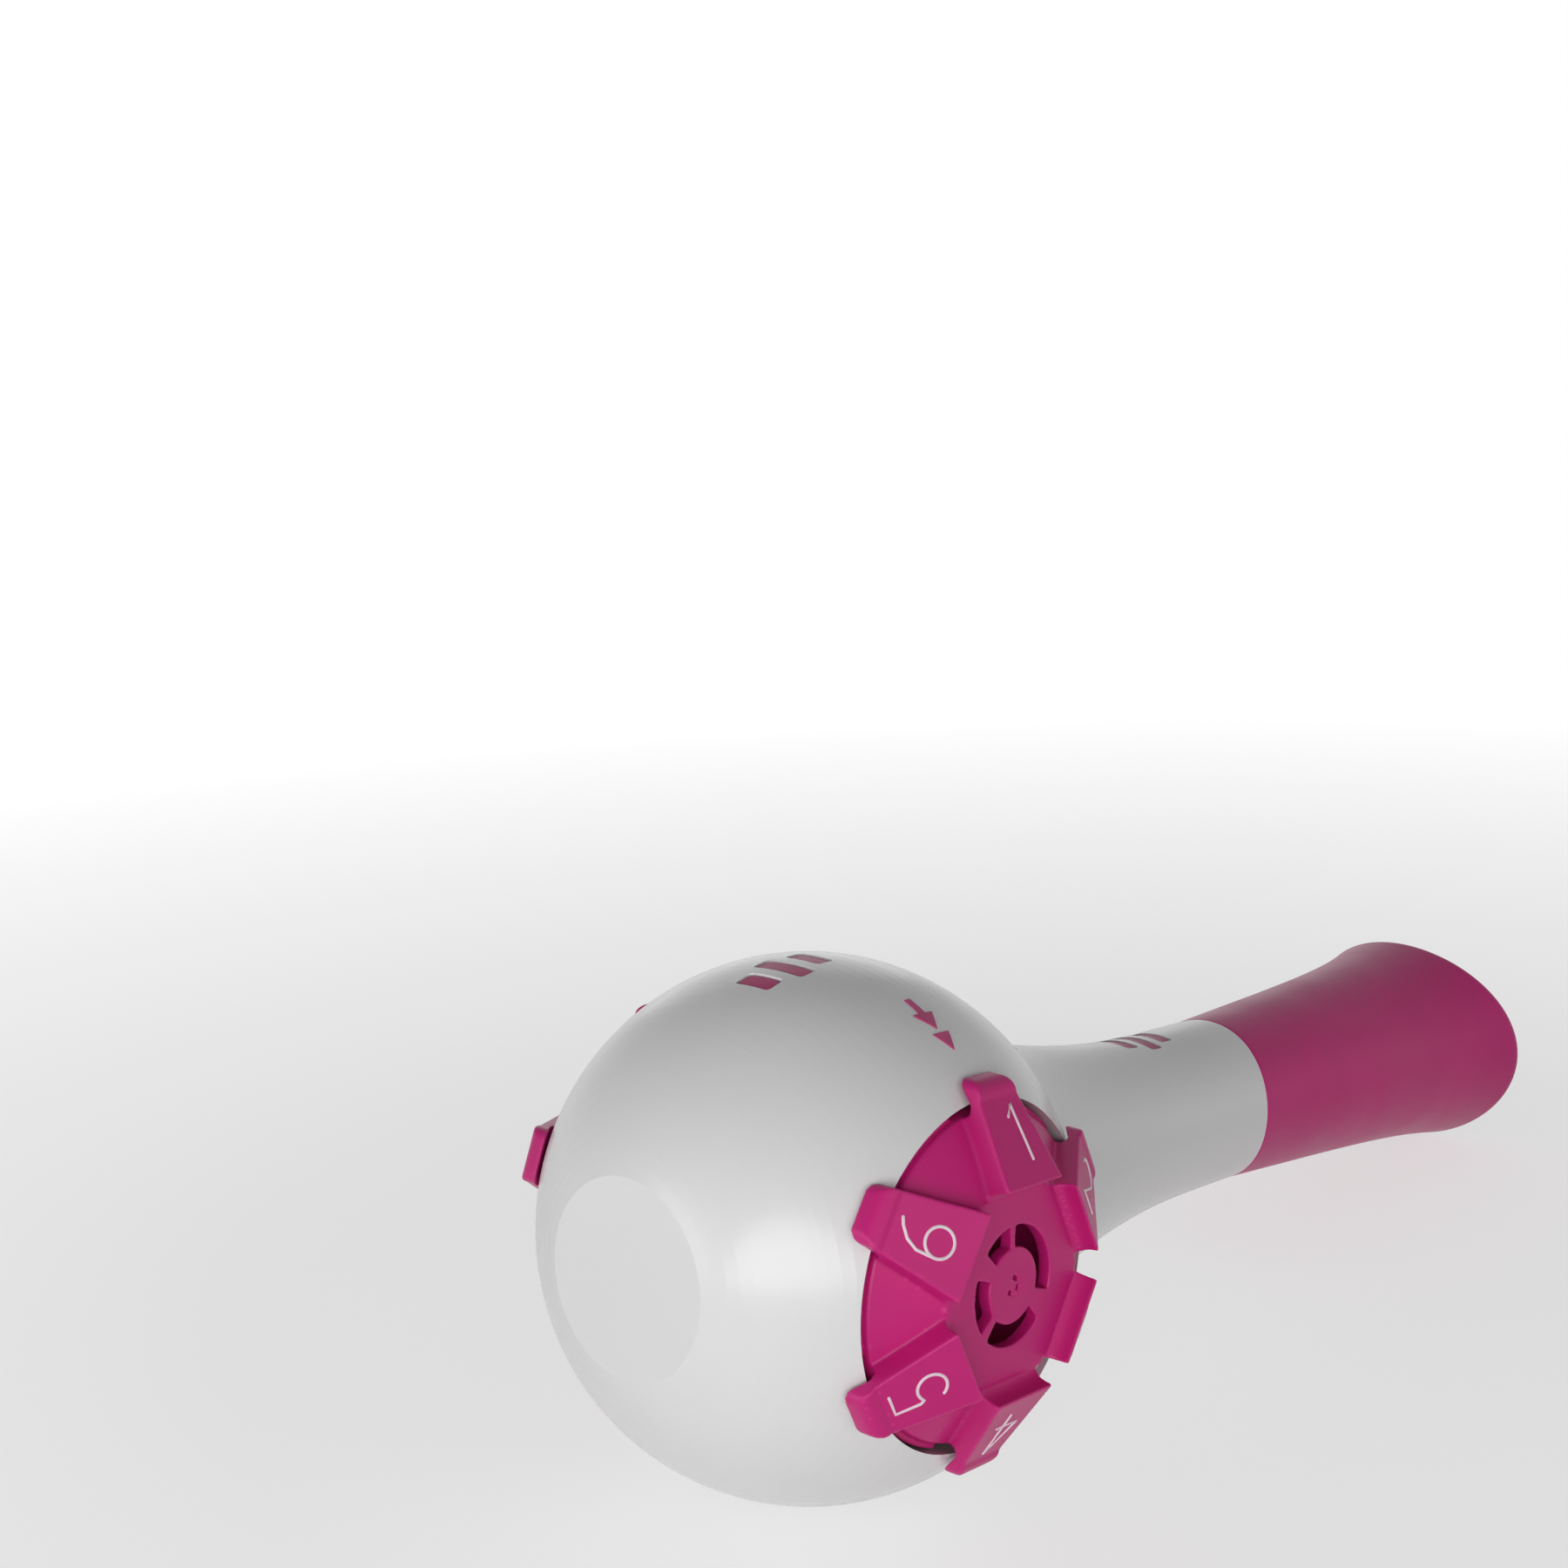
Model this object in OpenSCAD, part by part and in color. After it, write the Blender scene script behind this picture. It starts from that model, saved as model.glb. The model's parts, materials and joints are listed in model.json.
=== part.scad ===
// Hand-held breathing trainer: a round bulb with a flat end, a long neck and a flared
// mouthpiece. A numbered dial on each side of the bulb sets the size of an air hole:
// one side lets air in, the other lets it out, each through its own one-way flap.
// The pieces are drawn about the bulb's centre with X along the neck, and the whole
// is then laid down on its belly and its mouthpiece rim. Sizes are in millimetres.

/* [Bulb and neck] */
// Outer radius of the bulb
bulb_r = 32.5; // [31:0.5:36]
// Radius of the flat round end of the bulb
base_flat_r = 11.5; // [8:0.5:13]
// Thickness of the moulded shell
wall = 2.2; // [1.8:0.1:2.6]
// Thickness of the neck round the inner tube, where the mouthpiece meets it
neck_wall = 1.55; // [1.5:0.05:1.8]
// Distance from the bulb's centre to the mouthpiece seam
seam_x = 88.2; // [84:0.5:94]
// Distance from the bulb's centre to the start of the straight neck
neck_start_x = 75.6; // [70:0.5:80]
// Angle on the bulb at which the neck's curve leaves it
shoulder_angle = 39; // [36:1:46]
// How far the seam's edge waves along the neck
seam_wave = 2; // [1:0.25:3]

/* [Neck tube and mouthpiece] */
// Outer radius of the inner tube that the mouthpiece pushes on to
tube_r = 10.3; // [9.8:0.1:10.5]
// Wall of the inner tube
tube_wall = 1.6; // [1.2:0.1:2]
// Distance from the bulb's centre to the inner end of the tube
tube_start_x = 60; // [58:0.5:66]
// Length of tube that stands out past the seam
tube_reach = 24; // [18:0.5:28]
// Distance from the bulb's centre to the lowest part of the mouth rim
rim_x = 152.9; // [146:0.5:160]
// How much further the rim reaches at its two sides
rim_rise = 4.8; // [2:0.2:6]
// How far the rim slants from its under side to its upper side
rim_slant = 3.1; // [0:0.1:4]
// Half width of the rim from side to side
rim_half_w = 18.5; // [17.5:0.1:20]
// Half height of the rim
rim_half_h = 16.6; // [15.5:0.1:17.4]
// How much the mouthpiece widens steadily along its length
mouth_taper = 3.4; // [2.5:0.1:3.6]
// Wall of the mouthpiece at its rim
mouth_wall = 1.9; // [1.6:0.1:2.2]
// Radius of the air way where it leaves the socket
mouth_bore_r = 8.9; // [8:0.1:9.2]

/* [Dial openings] */
// Radius of the round opening in the shell for each dial
opening_r = 20.3; // [20.1:0.1:20.7]
// Thickness of the collar round the valve plate, inside the shell
collar_wall = 1.9; // [1.7:0.1:2.3]
// How far the collar reaches inwards past the valve plate's seat
collar_reach = 1.4; // [1:0.1:2]
// Depth of the valve plate's seat below the edge of the opening
flange_depth = 8.4; // [8.2:0.1:8.6]
// Thickness of the valve plate's flange
flange_t = 1.5; // [1.3:0.1:1.6]
// How far the valve plate's flange reaches past the edge of the opening
flange_lap = 1.1; // [0.9:0.1:1.3]
// Thickness of the flat gasket on the flange
gasket_t = 0.6; // [0.4:0.1:0.8]
// Width of the flat gasket
gasket_w = 0.9; // [0.7:0.1:1]

/* [Dials] */
// Number of settings on the breathe-in dial
inhale_count = 6; // [5:1:6]
// Number of settings on the breathe-out dial
exhale_count = 5; // [4:1:5]
// Gap between the dial's disc and the edge of the opening
dial_gap = 0.4; // [0.3:0.1:0.7]
// Width of the step at the disc's rim
ledge_w = 0.8; // [0.6:0.1:1.4]
// How far the step at the disc's rim lies below the edge of the opening
ledge_sink = 0.9; // [0.7:0.1:1.1]
// How far the disc's face beside the step lies below the edge of the opening
disc_sink = 0.1; // [0:0.1:0.3]
// How far the disc's face rises from its step to the breathe-in hub
disc_rise = 4.9; // [4.5:0.1:5]
// Thickness of the disc
disc_t = 1.6; // [1.4:0.1:1.8]
// How far the flat face of the breathe-in hub stands above the disc beside it
hub_rise = 0.3; // [0.2:0.1:0.6]
// Radius to a corner of the breathe-in hub, where two tabs meet
hub_corner_r = 12.2; // [12:0.1:12.4]
// Thickness of the hub's face
hub_face_t = 1.7; // [1.4:0.1:2]
// How far the end of a tab reaches past the edge of the opening
tab_reach = 2.5; // [2.1:0.1:2.9]
// Radius of a tab's crest, where its top is highest
tab_crest_r = 12; // [11.8:0.1:12.4]
// How far a tab's top rises from its rounded end to its crest
tab_crest_rise = 5.7; // [5.4:0.1:6]
// How far a tab's top stands above the disc's edge where its rounded end starts
tab_crease_rise = 2; // [1.8:0.1:2.3]
// Half width of a breathe-in tab at the hub
inhale_tab_half = 5.3; // [5:0.1:5.6]
// Half width of a breathe-out tab at the hub
exhale_tab_half = 5.4; // [5:0.1:6]
// Half width of a tab at its end
tab_end_half = 3.4; // [2.9:0.1:3.9]
// Radius of a tab's corners, seen from above
tab_corner_r = 1.4; // [1:0.1:2]
// Radius of the rounded end of a tab's top
tab_nose_r = 2; // [1.6:0.1:2.4]
// Gap between a tab's under side and the shell
tab_lift = 0.5; // [0.4:0.1:0.8]

/* [Breathe-in hub windows] */
// Inner radius of the windows
window_in_r = 4.4; // [4.2:0.1:4.8]
// Outer radius of the windows
window_out_r = 6.9; // [6.4:0.1:7.2]
// Radius of the ring of small slots at the centre
slot_ring_r = 0.9; // [0.8:0.1:1.2]
// Width of the small slots
slot_w = 0.5; // [0.3:0.1:0.6]

/* [Breathe-out cup] */
// Radius of the cup at its mouth
cup_mouth_r = 12.9; // [12.6:0.1:13.2]
// Radius of the cup near its floor
cup_floor_r = 11.7; // [11.4:0.1:12]
// Depth of the cup from its rim to its floor
cup_depth = 16.7; // [16.4:0.1:16.9]
// Wall of the cup
cup_wall = 1.5; // [1.3:0.1:1.6]
// Radius of the hole that shows the screw's head
cup_hole_r = 2; // [1.95:0.01:2.1]

/* [Air holes and valves] */
// Radius from the dial's centre to the air holes
port_pitch_r = 9; // [8.9:0.05:9.1]
// Radius of the port in the valve plate
port_r = 3.2; // [2.8:0.1:3.3]
// Radius of the smallest air hole on a dial
small_hole_r = 1.2; // [0.8:0.1:1.4]
// Radius of the disc that carries the breathe-in air holes
orifice_r = 13.8; // [13.7:0.05:13.9]
// Thickness of the discs that carry the air holes
orifice_t = 1.2; // [1:0.1:1.3]
// Radius of the one-way flap
flap_r = 4.3; // [4.1:0.1:4.4]
// Thickness of the one-way flap
flap_t = 1; // [0.8:0.1:1.1]
// How far the one-way flap lifts
flap_lift = 1.2; // [0.8:0.1:1.3]
// Radius of the pin that guides the flap
guide_r = 0.7; // [0.6:0.05:0.8]
// Inner radius of the flap's cage
cage_in_r = 4.7; // [4.6:0.05:4.75]
// Wall of the flap's cage
cage_wall = 0.7; // [0.6:0.05:0.8]
// Thickness of the cage's cross bars
cage_bar_t = 1; // [0.8:0.1:1.2]
// Radius of the breathe-in spindle screw
inhale_screw_r = 1.5; // [1.4:0.05:1.55]
// Radius of the breathe-out spindle screw
exhale_screw_r = 1.1; // [1:0.05:1.2]

/* [Marks] */
// Height of a numeral
numeral_h = 6.6; // [6:0.1:6.6]
// Width of a numeral
numeral_w = 3.8; // [3.4:0.1:4.2]
// Gap between a breathe-in numeral and the rounded end of its tab
numeral_gap = 0.8; // [0.4:0.1:1]
// Width of a numeral's stroke
stroke_w = 0.5; // [0.4:0.05:0.6]
// Thickness of printed and inlaid marks
mark_t = 0.15; // [0.1:0.05:0.2]
// Distance between the bars of a grip mark
bar_pitch = 4.3; // [4:0.1:4.6]
// Length of a bar along the neck
bar_l = 2.3; // [2:0.1:2.6]
// Width of the middle bar across the neck
bar_w = 7.2; // [6.4:0.1:7.6]
// Width of the two outer bars across the neck
short_bar_w = 4.8; // [4:0.1:5.4]
// Depth of the recess that holds a bar
bar_depth = 1; // [0.8:0.1:1.2]

/* [Hidden] */

// Smoothness of the large round faces, and of the small ones
$fn = 48;
fine_fn = 96;

// One overrun for every cut, so that no cut ends flush with a face
over = 1;

// Clearances: running fit, light push fit, sealing ring to its moving partner
run_gap = 0.06;
push_gap = 0.02;
seat_gap = 0.05;
face_gap = 0.2;

// Which side a dial is on
INHALE = -1;
EXHALE = 1;

// The flat end lies this far from the bulb's centre
base_x = sqrt(pow(bulb_r, 2) - pow(base_flat_r, 2));

// The neck's curve: how far its two ends run straight, as shares of its length
curve_x = neck_start_x - bulb_r * cos(shoulder_angle);
curve_start_share = 0.053;
curve_end_share = 0.52;

// Steps along the bulb's arc and along the neck's curve
arc_steps = 44;
curve_steps = 22;

// The inner tube and the socket that slides over it
tube_end_x = seam_x + tube_reach;
tube_seat_gap = 0.05;
neck_r = tube_r + tube_seat_gap + neck_wall;
socket_gap = 0.2;
socket_r = tube_r + socket_gap;
socket_end_x = tube_end_x + socket_gap;
seam_gap = 0.1;

// The seam follows a large cylinder that stands across the neck
wave_r = (pow(neck_r, 2) + pow(seam_wave, 2)) / (2 * seam_wave);
wave_x = seam_x + seam_wave / 2 - wave_r;

// The sealing ring on the tube, in its groove
seal_w = 1.8;
seal_depth = 0.65;
seal_proud = 0.12;
seal_round = 0.3;
seal_x = seam_x + tube_reach / 2;

// The mouthpiece's mesh: sides round, and rings along the outside, lip and inside
mouth_sides = 56;
outer_rings = 20;
lip_rings = 6;
inner_rings = 10;
flare_power = 5;
lip_r = mouth_wall / 2;

// How far the whole tips down so that the belly and the rim both touch the table
rim_low_x = rim_x + rim_slant - lip_r;
rim_low_z = rim_half_h - lip_r;
lie_angle = asin((bulb_r - lip_r) / norm([rim_low_x, rim_low_z])) - atan2(rim_low_z, rim_low_x);

// The row's origin is under the middle of the laid object
end_low_x = -base_x * cos(lie_angle) - base_flat_r * sin(lie_angle);
end_high_x = (rim_x + rim_rise) * cos(lie_angle);
mid_x = (end_low_x + end_high_x) / 2;

// Radii in the dial stacks, all taken from the opening's edge
flange_r = opening_r + flange_lap;
collar_r = flange_r + collar_wall;
dial_r = opening_r - dial_gap;
tab_end_r = opening_r + tab_reach;

// Heights in the dial stacks, above the bulb's centre, all taken from the opening's edge
opening_h = sqrt(pow(bulb_r, 2) - pow(opening_r, 2));
flange_h = opening_h - flange_depth;
collar_h = flange_h - collar_reach;
ledge_h = opening_h - ledge_sink;
disc_edge_h = opening_h - disc_sink;
disc_root_h = disc_edge_h + disc_rise;
hub_face_h = disc_root_h + hub_rise;
tab_crease_r = tab_end_r - tab_nose_r;
tab_crease_h = disc_edge_h + tab_crease_rise;
tab_crest_h = tab_crease_h + tab_crest_rise;
tab_run = tab_crease_r - tab_crest_r;
tab_fall = atan2(tab_crest_rise, tab_run);
flange_top_h = flange_h + flange_t;
lip_h = flange_top_h + gasket_t;
groove_gap = 0.1;
ledge_gap = 0.2;
shelf_r = flange_r - 1.7 * flange_t + push_gap;
disc_step_r = dial_r - ledge_w;

// Breathe-in side: the valve plate's face carries the air-hole disc
inhale_face_h = flange_top_h;
inhale_orifice_h = inhale_face_h + face_gap;
inhale_boss_r = 3.5;
inhale_boss_drop = 2;
inhale_boss_h = flange_h - inhale_boss_drop;
washer_r = 3.2;
washer_t = 0.4;
screw_head_r = 2.9;
screw_head_t = 1.6;
inhale_head_h = inhale_boss_h - seat_gap - washer_t;
post_r = 3.2;
post_depth = 5;
skirt_wall = 1.2;

// Breathe-out side: the valve plate is a deep cup below the dial's own cup, whose rim
// stands just proud of the tabs that start from the middle of its wall
cup_mid_r = cup_mouth_r + cup_wall / 2;
cup_out_r = cup_mouth_r + cup_wall;
cup_rim_h = tab_h(cup_mid_r) + seat_gap;
cup_floor_h = cup_rim_h - cup_depth;
cup_floor_t = 1.6;
cup_round = 2.7;
exhale_floor_h = cup_floor_h - cup_floor_t;
exhale_boss_r = 4.4;
exhale_boss_t = 1.2;
exhale_orifice_h = exhale_floor_h - exhale_boss_t - orifice_t;
exhale_orifice_r = 13.4;
exhale_face_h = exhale_orifice_h - face_gap;
plate_floor_t = 3.2;
plate_wall = 1.5;
plate_wall_r = shelf_r - ledge_gap;
pocket_r = cage_in_r + cage_wall / 2 - run_gap;
pocket_wall = 1;
pocket_depth = 4;
seat_t = 1.4;
stud_boss_r = 3;
stud_boss_l = 3.3;
head_sink_t = 1.2;
exhale_head_r = cup_hole_r - 0.15 * cup_hole_r / 2;
exhale_head_t = 0.95;
exhale_head_h = cup_floor_h - head_sink_t + seat_gap;

// Flat sealing rings round the ports
port_seal_w = 1.2;
port_seal_sink = 0.5;
port_seal_t = 0.6;
port_seal_margin = 0.5;

// Click springs that press on notches in the air-hole discs
notch_r = 0.8;
click_bump_r = 1;
click_r = 15;
click_t = 0.5;
click_h = 2;
click_foot_w = 1.8;
click_foot_l = 2.4;
click_half_angle = 30;

// Notches in the disc's step beside each tab
vent_margin = 1.3;

// How far a tab starts below the face of the hub
crease_drop = 0.15;

// Windows in the breathe-in hub: where each starts and ends, clockwise from tab one
window_angles = [[0, 106], [134, 220], [232, 287], [313, 352]];
slot_angles = [[-10, 60], [85, 140], [185, 240]];

// Grip marks: the places of their middle bars along the neck
bulb_bars_x = -5.8;
shoulder_bars_x = 32.1;
neck_bars_x = 69.6;
bar_corner_r = 0.6;
bar_margin = 0.25;

// Pointers beside tab one: angle up the bulb from the dial's axis, and their outline
pointer_angle = 52.5;
pointer_h = 2.6;
pointer_w = 2.8;
arrow_angle = 60.5;
arrow_h = 5.2;
arrow_w = 3.4;
arrow_stem_share = 0.28;
arrow_head_share = 0.5;

shell_colour = "white";
accent_colour = [0.78, 0.1, 0.47];
rubber_colour = [0.85, 0.85, 0.87];
steel_colour = "silver";
inner_colour = [0.93, 0.93, 0.9];

// Point at share t of a cubic curve, and its direction there
function curve_point(p, t) =
    pow(1 - t, 3) * p[0] + 3 * t * pow(1 - t, 2) * p[1]
    + 3 * pow(t, 2) * (1 - t) * p[2] + pow(t, 3) * p[3];
function curve_dir(p, t) =
    pow(1 - t, 2) * (p[1] - p[0]) + 2 * t * (1 - t) * (p[2] - p[1]) + pow(t, 2) * (p[3] - p[2]);

// Control points of the neck's curve, as [distance along the neck, radius]
shoulder = bulb_r * [cos(shoulder_angle), sin(shoulder_angle)];
neck_curve = [
    shoulder,
    shoulder + curve_start_share * curve_x * [sin(shoulder_angle), -cos(shoulder_angle)],
    [neck_start_x - curve_end_share * curve_x, neck_r],
    [neck_start_x, neck_r]];

// The outside of the bulb and neck sunk by a depth, as [radius, distance] points.
// The neck's part never gets narrower than least_r.
function bulb_points(depth) =
    let (r = bulb_r - depth,
        first = acos(-(base_x - depth) / r))
    [for (i = [0:arc_steps])
        let (a = first + (shoulder_angle - first) * i / arc_steps) [r * sin(a), r * cos(a)]];
function neck_points(depth, least_r) =
    [for (i = [1:curve_steps])
        let (t = i / curve_steps,
            p = curve_point(neck_curve, t),
            d = curve_dir(neck_curve, t),
            n = [-d[1], d[0]] / norm(d),
            q = p - depth * n)
        [max(q[1], least_r), q[0]]];
function body_outline(depth, least_r, end_x) =
    concat([[0, -(base_x - depth)]], bulb_points(depth), neck_points(depth, least_r),
        [[max(neck_r - depth, least_r), end_x], [0, end_x]]);

// Height of the dial disc's face at a radius, on a straight cone
function disc_h(r) =
    disc_edge_h + (disc_root_h - disc_edge_h) * (disc_step_r - r) / (disc_step_r - hub_corner_r);

// Height of a tab's even slope at a radius
function tab_h(r) = tab_crest_h - tab_crest_rise * (r - tab_crest_r) / tab_run;

// The breathe-in hub has a flat side for each tab
hub_flat_r = hub_corner_r * cos(180 / inhale_count);

// Height of the bulb's outside at a distance from a dial's axis
function bulb_h(r) = sqrt(pow(bulb_r, 2) - pow(r, 2));

// Where the seam lies at a distance across the neck
function seam_at(y) = wave_x + sqrt(pow(wave_r, 2) - pow(y, 2));

// Radius of the air hole of a setting, growing smaller from the first to the last
function hole_r(i, count) = port_r - (port_r - small_hole_r) * i / (count - 1);

// Direction of a setting's tab, counted clockwise from the top
function tab_angle(i, count) = 90 - i * 360 / count;

// Setting that faces the click spring
function click_setting(count) = floor(count / 2);

// Lay the object, drawn about the bulb's centre, on the table
module laid() {
    translate([-mid_x, 0, bulb_r]) rotate([0, lie_angle, 0]) children();
}

// Turn a piece drawn with Z out of a dial and Y up to its place on one side
module on_side(side) {
    laid() rotate([90, 0, side == INHALE ? 0 : 180]) children();
}

// A solid of revolution about the neck's axis
module turned(points) {
    rotate([0, 90, 0]) rotate_extrude($fn = fine_fn) polygon(points);
}

// The bulb and neck as one solid, sunk by a depth
module body_solid(depth, end_x) {
    turned(body_outline(depth, 0, end_x));
}

// A ring from height low to high
module ring(out_r, in_r, low, high) {
    translate([0, 0, low]) difference() {
        cylinder(r = out_r, h = high - low, $fn = fine_fn);
        translate([0, 0, -over]) cylinder(r = in_r, h = high - low + 2 * over, $fn = fine_fn);
    }
}

// A disc from height low to high
module disc(r, low, high) {
    translate([0, 0, low]) cylinder(r = r, h = high - low, $fn = fine_fn);
}

// The collar that carries a valve plate, drawn along a dial's axis
module collar() {
    disc(collar_r, collar_h, bulb_r);
}

// What is cut out of the shell and collar for a dial and its valve plate
module dial_cut() {
    disc(opening_r, lip_h, bulb_r + over);
    disc(flange_r + groove_gap, flange_h, lip_h + push_gap);
    disc(shelf_r, collar_h - over, flange_h + push_gap);
}

// An upright bar with rounded corners that reaches through the top of the shell
module bar_prism(w, margin) {
    linear_extrude(height = bulb_r + over) offset_bar(bar_l + 2 * margin, w + 2 * margin);
}

// A rectangle with round corners, made of two bars and four discs
module offset_bar(l, w) {
    square([l - 2 * bar_corner_r, w], center = true);
    square([l, w - 2 * bar_corner_r], center = true);
    for (sx = [-1, 1]) for (sy = [-1, 1])
        translate([sx * (l / 2 - bar_corner_r), sy * (w / 2 - bar_corner_r)])
            circle(r = bar_corner_r, $fn = 24);
}

// The three bars of a grip mark, as prisms round a place on the neck
module grip_prisms(place_x, margin) {
    for (i = [-1:1])
        translate([place_x + i * bar_pitch, 0, 0]) bar_prism(i == 0 ? bar_w : short_bar_w, margin);
}

// The shell of the bulb and neck before it is split
module shell() {
    difference() {
        union() {
            difference() {
                body_solid(0, seam_x + seam_wave);
                turned(body_outline(wall, tube_r + tube_seat_gap, seam_x + 2 * seam_wave));
            }
            intersection() {
                body_solid(wall / 2, seam_x);
                for (side = [INHALE, EXHALE])
                    rotate([90, 0, side == INHALE ? 0 : 180]) collar();
            }
        }
        for (side = [INHALE, EXHALE])
            rotate([90, 0, side == INHALE ? 0 : 180]) dial_cut();
        seam_cut();
        difference() {
            for (place_x = [bulb_bars_x, shoulder_bars_x, neck_bars_x])
                grip_prisms(place_x, bar_margin);
            body_solid(bar_depth, seam_x);
        }
    }
}

// What lies past the wavy seam
module seam_cut() {
    difference() {
        translate([seam_x - seam_wave, -bulb_r, -bulb_r]) cube([4 * seam_wave, 2 * bulb_r, 2 * bulb_r]);
        translate([wave_x, 0, -bulb_r - over])
            cylinder(r = wave_r, h = 2 * (bulb_r + over), $fn = fine_fn);
    }
}

// The upper or lower half of all that lies along the neck
module half_space(up) {
    translate([-bulb_r - over, -bulb_r - over, up ? 0 : -bulb_r - over])
        cube([rim_x + bulb_r, 2 * (bulb_r + over), bulb_r + over]);
}

module upper_shell() {
    color(shell_colour) laid() intersection() { shell(); half_space(true); }
}

module lower_shell() {
    color(shell_colour) laid() intersection() { shell(); half_space(false); }
}

// The inner tube, bonded in the neck, with the groove for its sealing ring
module neck_tube() {
    color(inner_colour) laid() rotate([0, 90, 0]) difference() {
        disc(tube_r, tube_start_x, tube_end_x);
        disc(tube_r - tube_wall, tube_start_x - over, tube_end_x + over);
        ring(tube_r + over, tube_r - seal_depth, seal_x - seal_w / 2, seal_x + seal_w / 2);
    }
}

module mouthpiece_seal() {
    out_r = tube_r + seal_proud;
    in_r = tube_r - seal_depth;
    half_w = seal_w / 2 - seat_gap;
    color(rubber_colour) laid() rotate([0, 90, 0]) translate([0, 0, seal_x])
        rotate_extrude($fn = fine_fn) polygon([
            [in_r, -half_w], [out_r - seal_round, -half_w], [out_r, -half_w + seal_round],
            [out_r, half_w - seal_round], [out_r - seal_round, half_w], [in_r, half_w]]);
}

// Half axes of the mouthpiece's outside at a share of its length
function mouth_half(s, rim_half) =
    neck_r + mouth_taper * s + (rim_half - neck_r - mouth_taper) * pow(s, flare_power);

// Distance along the neck at which the rim's lip starts, at an angle from the top
function lip_x(a) =
    rim_x + rim_rise * pow(sin(a), 2) - rim_slant * cos(a) - lip_r;

// A point of the outside: share s of the length, then moved along and inwards
function mouth_point(a, s, along, inwards) =
    let (y = (mouth_half(s, rim_half_w) - inwards) * sin(a),
        z = (mouth_half(s, rim_half_h) - inwards) * cos(a),
        first = seam_at(neck_r * sin(a)) + seam_gap)
    [first + (lip_x(a) - first) * s + along, y, z];

// A point of the air way: share t from the end of the socket to the lip
function bore_point(a, t) =
    let (grow = t * t * (3 - 2 * t),
        ry = mouth_bore_r + (rim_half_w - mouth_wall - mouth_bore_r) * grow,
        rz = mouth_bore_r + (rim_half_h - mouth_wall - mouth_bore_r) * grow)
    [socket_end_x + (lip_x(a) - socket_end_x) * t, ry * sin(a), rz * cos(a)];

// The socket's wall stands outside a circle of the socket's radius
socket_corner_r = socket_r / cos(180 / mouth_sides);
function ring_angles() = [for (k = [0:mouth_sides - 1]) 360 * (k + 1 / 2) / mouth_sides];
function socket_point(a, x) = [x, socket_corner_r * sin(a), socket_corner_r * cos(a)];
mouth_rings = concat(
    [for (i = [0:outer_rings]) [for (a = ring_angles()) mouth_point(a, i / outer_rings, 0, 0)]],
    [for (i = [1:lip_rings]) let (b = 180 * i / lip_rings)
        [for (a = ring_angles()) mouth_point(a, 1, lip_r * sin(b), lip_r * (1 - cos(b)))]],
    [for (i = [inner_rings - 1:-1:0]) [for (a = ring_angles()) bore_point(a, i / inner_rings)]],
    [[for (a = ring_angles()) socket_point(a, socket_end_x)]],
    [[for (a = ring_angles()) socket_point(a, seam_at(socket_corner_r * sin(a)) + seam_gap)]]);

// A closed tube whose rings join one to the next, and the last to the first
module ringed(rings) {
    n = len(rings);
    m = len(rings[0]);
    polyhedron(
        points = [for (r = rings) for (p = r) p],
        faces = [for (i = [0:n - 1]) for (k = [0:m - 1])
            let (j = (i + 1) % n, l = (k + 1) % m)
            for (f = [[i * m + k, j * m + k, j * m + l], [i * m + k, j * m + l, i * m + l]]) f]);
}

module mouthpiece() {
    color(accent_colour) laid() ringed(mouth_rings);
}

// The place of the port and its flap, under tab one
module at_port() {
    translate([0, port_pitch_r, 0]) children();
}

// The ring-shaped recess for a port's seal, sunk into a face
module port_seal_cut(in_r, face_h) {
    at_port() ring(in_r + port_seal_w + seat_gap, in_r - seat_gap, face_h - port_seal_sink, face_h + over);
}

module port_seal(in_r, face_h) {
    low = face_h - port_seal_sink;
    color(rubber_colour) at_port() ring(in_r + port_seal_w, in_r, low, low + port_seal_t);
}

inhale_seal_in_r = port_r + port_seal_margin;
exhale_seal_in_r = pocket_r + port_seal_margin;

module inhale_port_plate() {
    color(inner_colour) on_side(INHALE) difference() {
        union() {
            disc(flange_r, flange_h, flange_top_h);
            disc(inhale_boss_r, inhale_boss_h, flange_top_h);
        }
        disc(inhale_screw_r + run_gap, inhale_boss_h - over, flange_top_h + over);
        at_port() disc(port_r, flange_h - over, flange_top_h + over);
        port_seal_cut(inhale_seal_in_r, inhale_face_h);
    }
}

module exhale_port_plate() {
    floor_low = exhale_face_h - plate_floor_t;
    pocket_low = exhale_face_h - pocket_depth;
    color(inner_colour) on_side(EXHALE) difference() {
        union() {
            disc(flange_r, flange_h, flange_top_h);
            disc(plate_wall_r, floor_low, flange_top_h);
            disc(stud_boss_r, floor_low - stud_boss_l, exhale_face_h);
            at_port() disc(pocket_r + pocket_wall, pocket_low - seat_t, exhale_face_h);
        }
        disc(plate_wall_r - plate_wall, exhale_face_h, flange_top_h + over);
        disc(exhale_screw_r + push_gap, floor_low - stud_boss_l - over, exhale_face_h + over);
        at_port() disc(pocket_r, pocket_low, exhale_face_h + over);
        at_port() disc(port_r, pocket_low - seat_t - over, pocket_low + over);
        port_seal_cut(exhale_seal_in_r, exhale_face_h);
    }
}

module gasket(side) {
    color(rubber_colour) on_side(side) ring(flange_r, flange_r - gasket_w, flange_top_h, lip_h);
}

module inhale_gasket() { gasket(INHALE); }
module exhale_gasket() { gasket(EXHALE); }
module inhale_port_seal() { on_side(INHALE) port_seal(inhale_seal_in_r, inhale_face_h); }
module exhale_port_seal() { on_side(EXHALE) port_seal(exhale_seal_in_r, exhale_face_h); }

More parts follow.
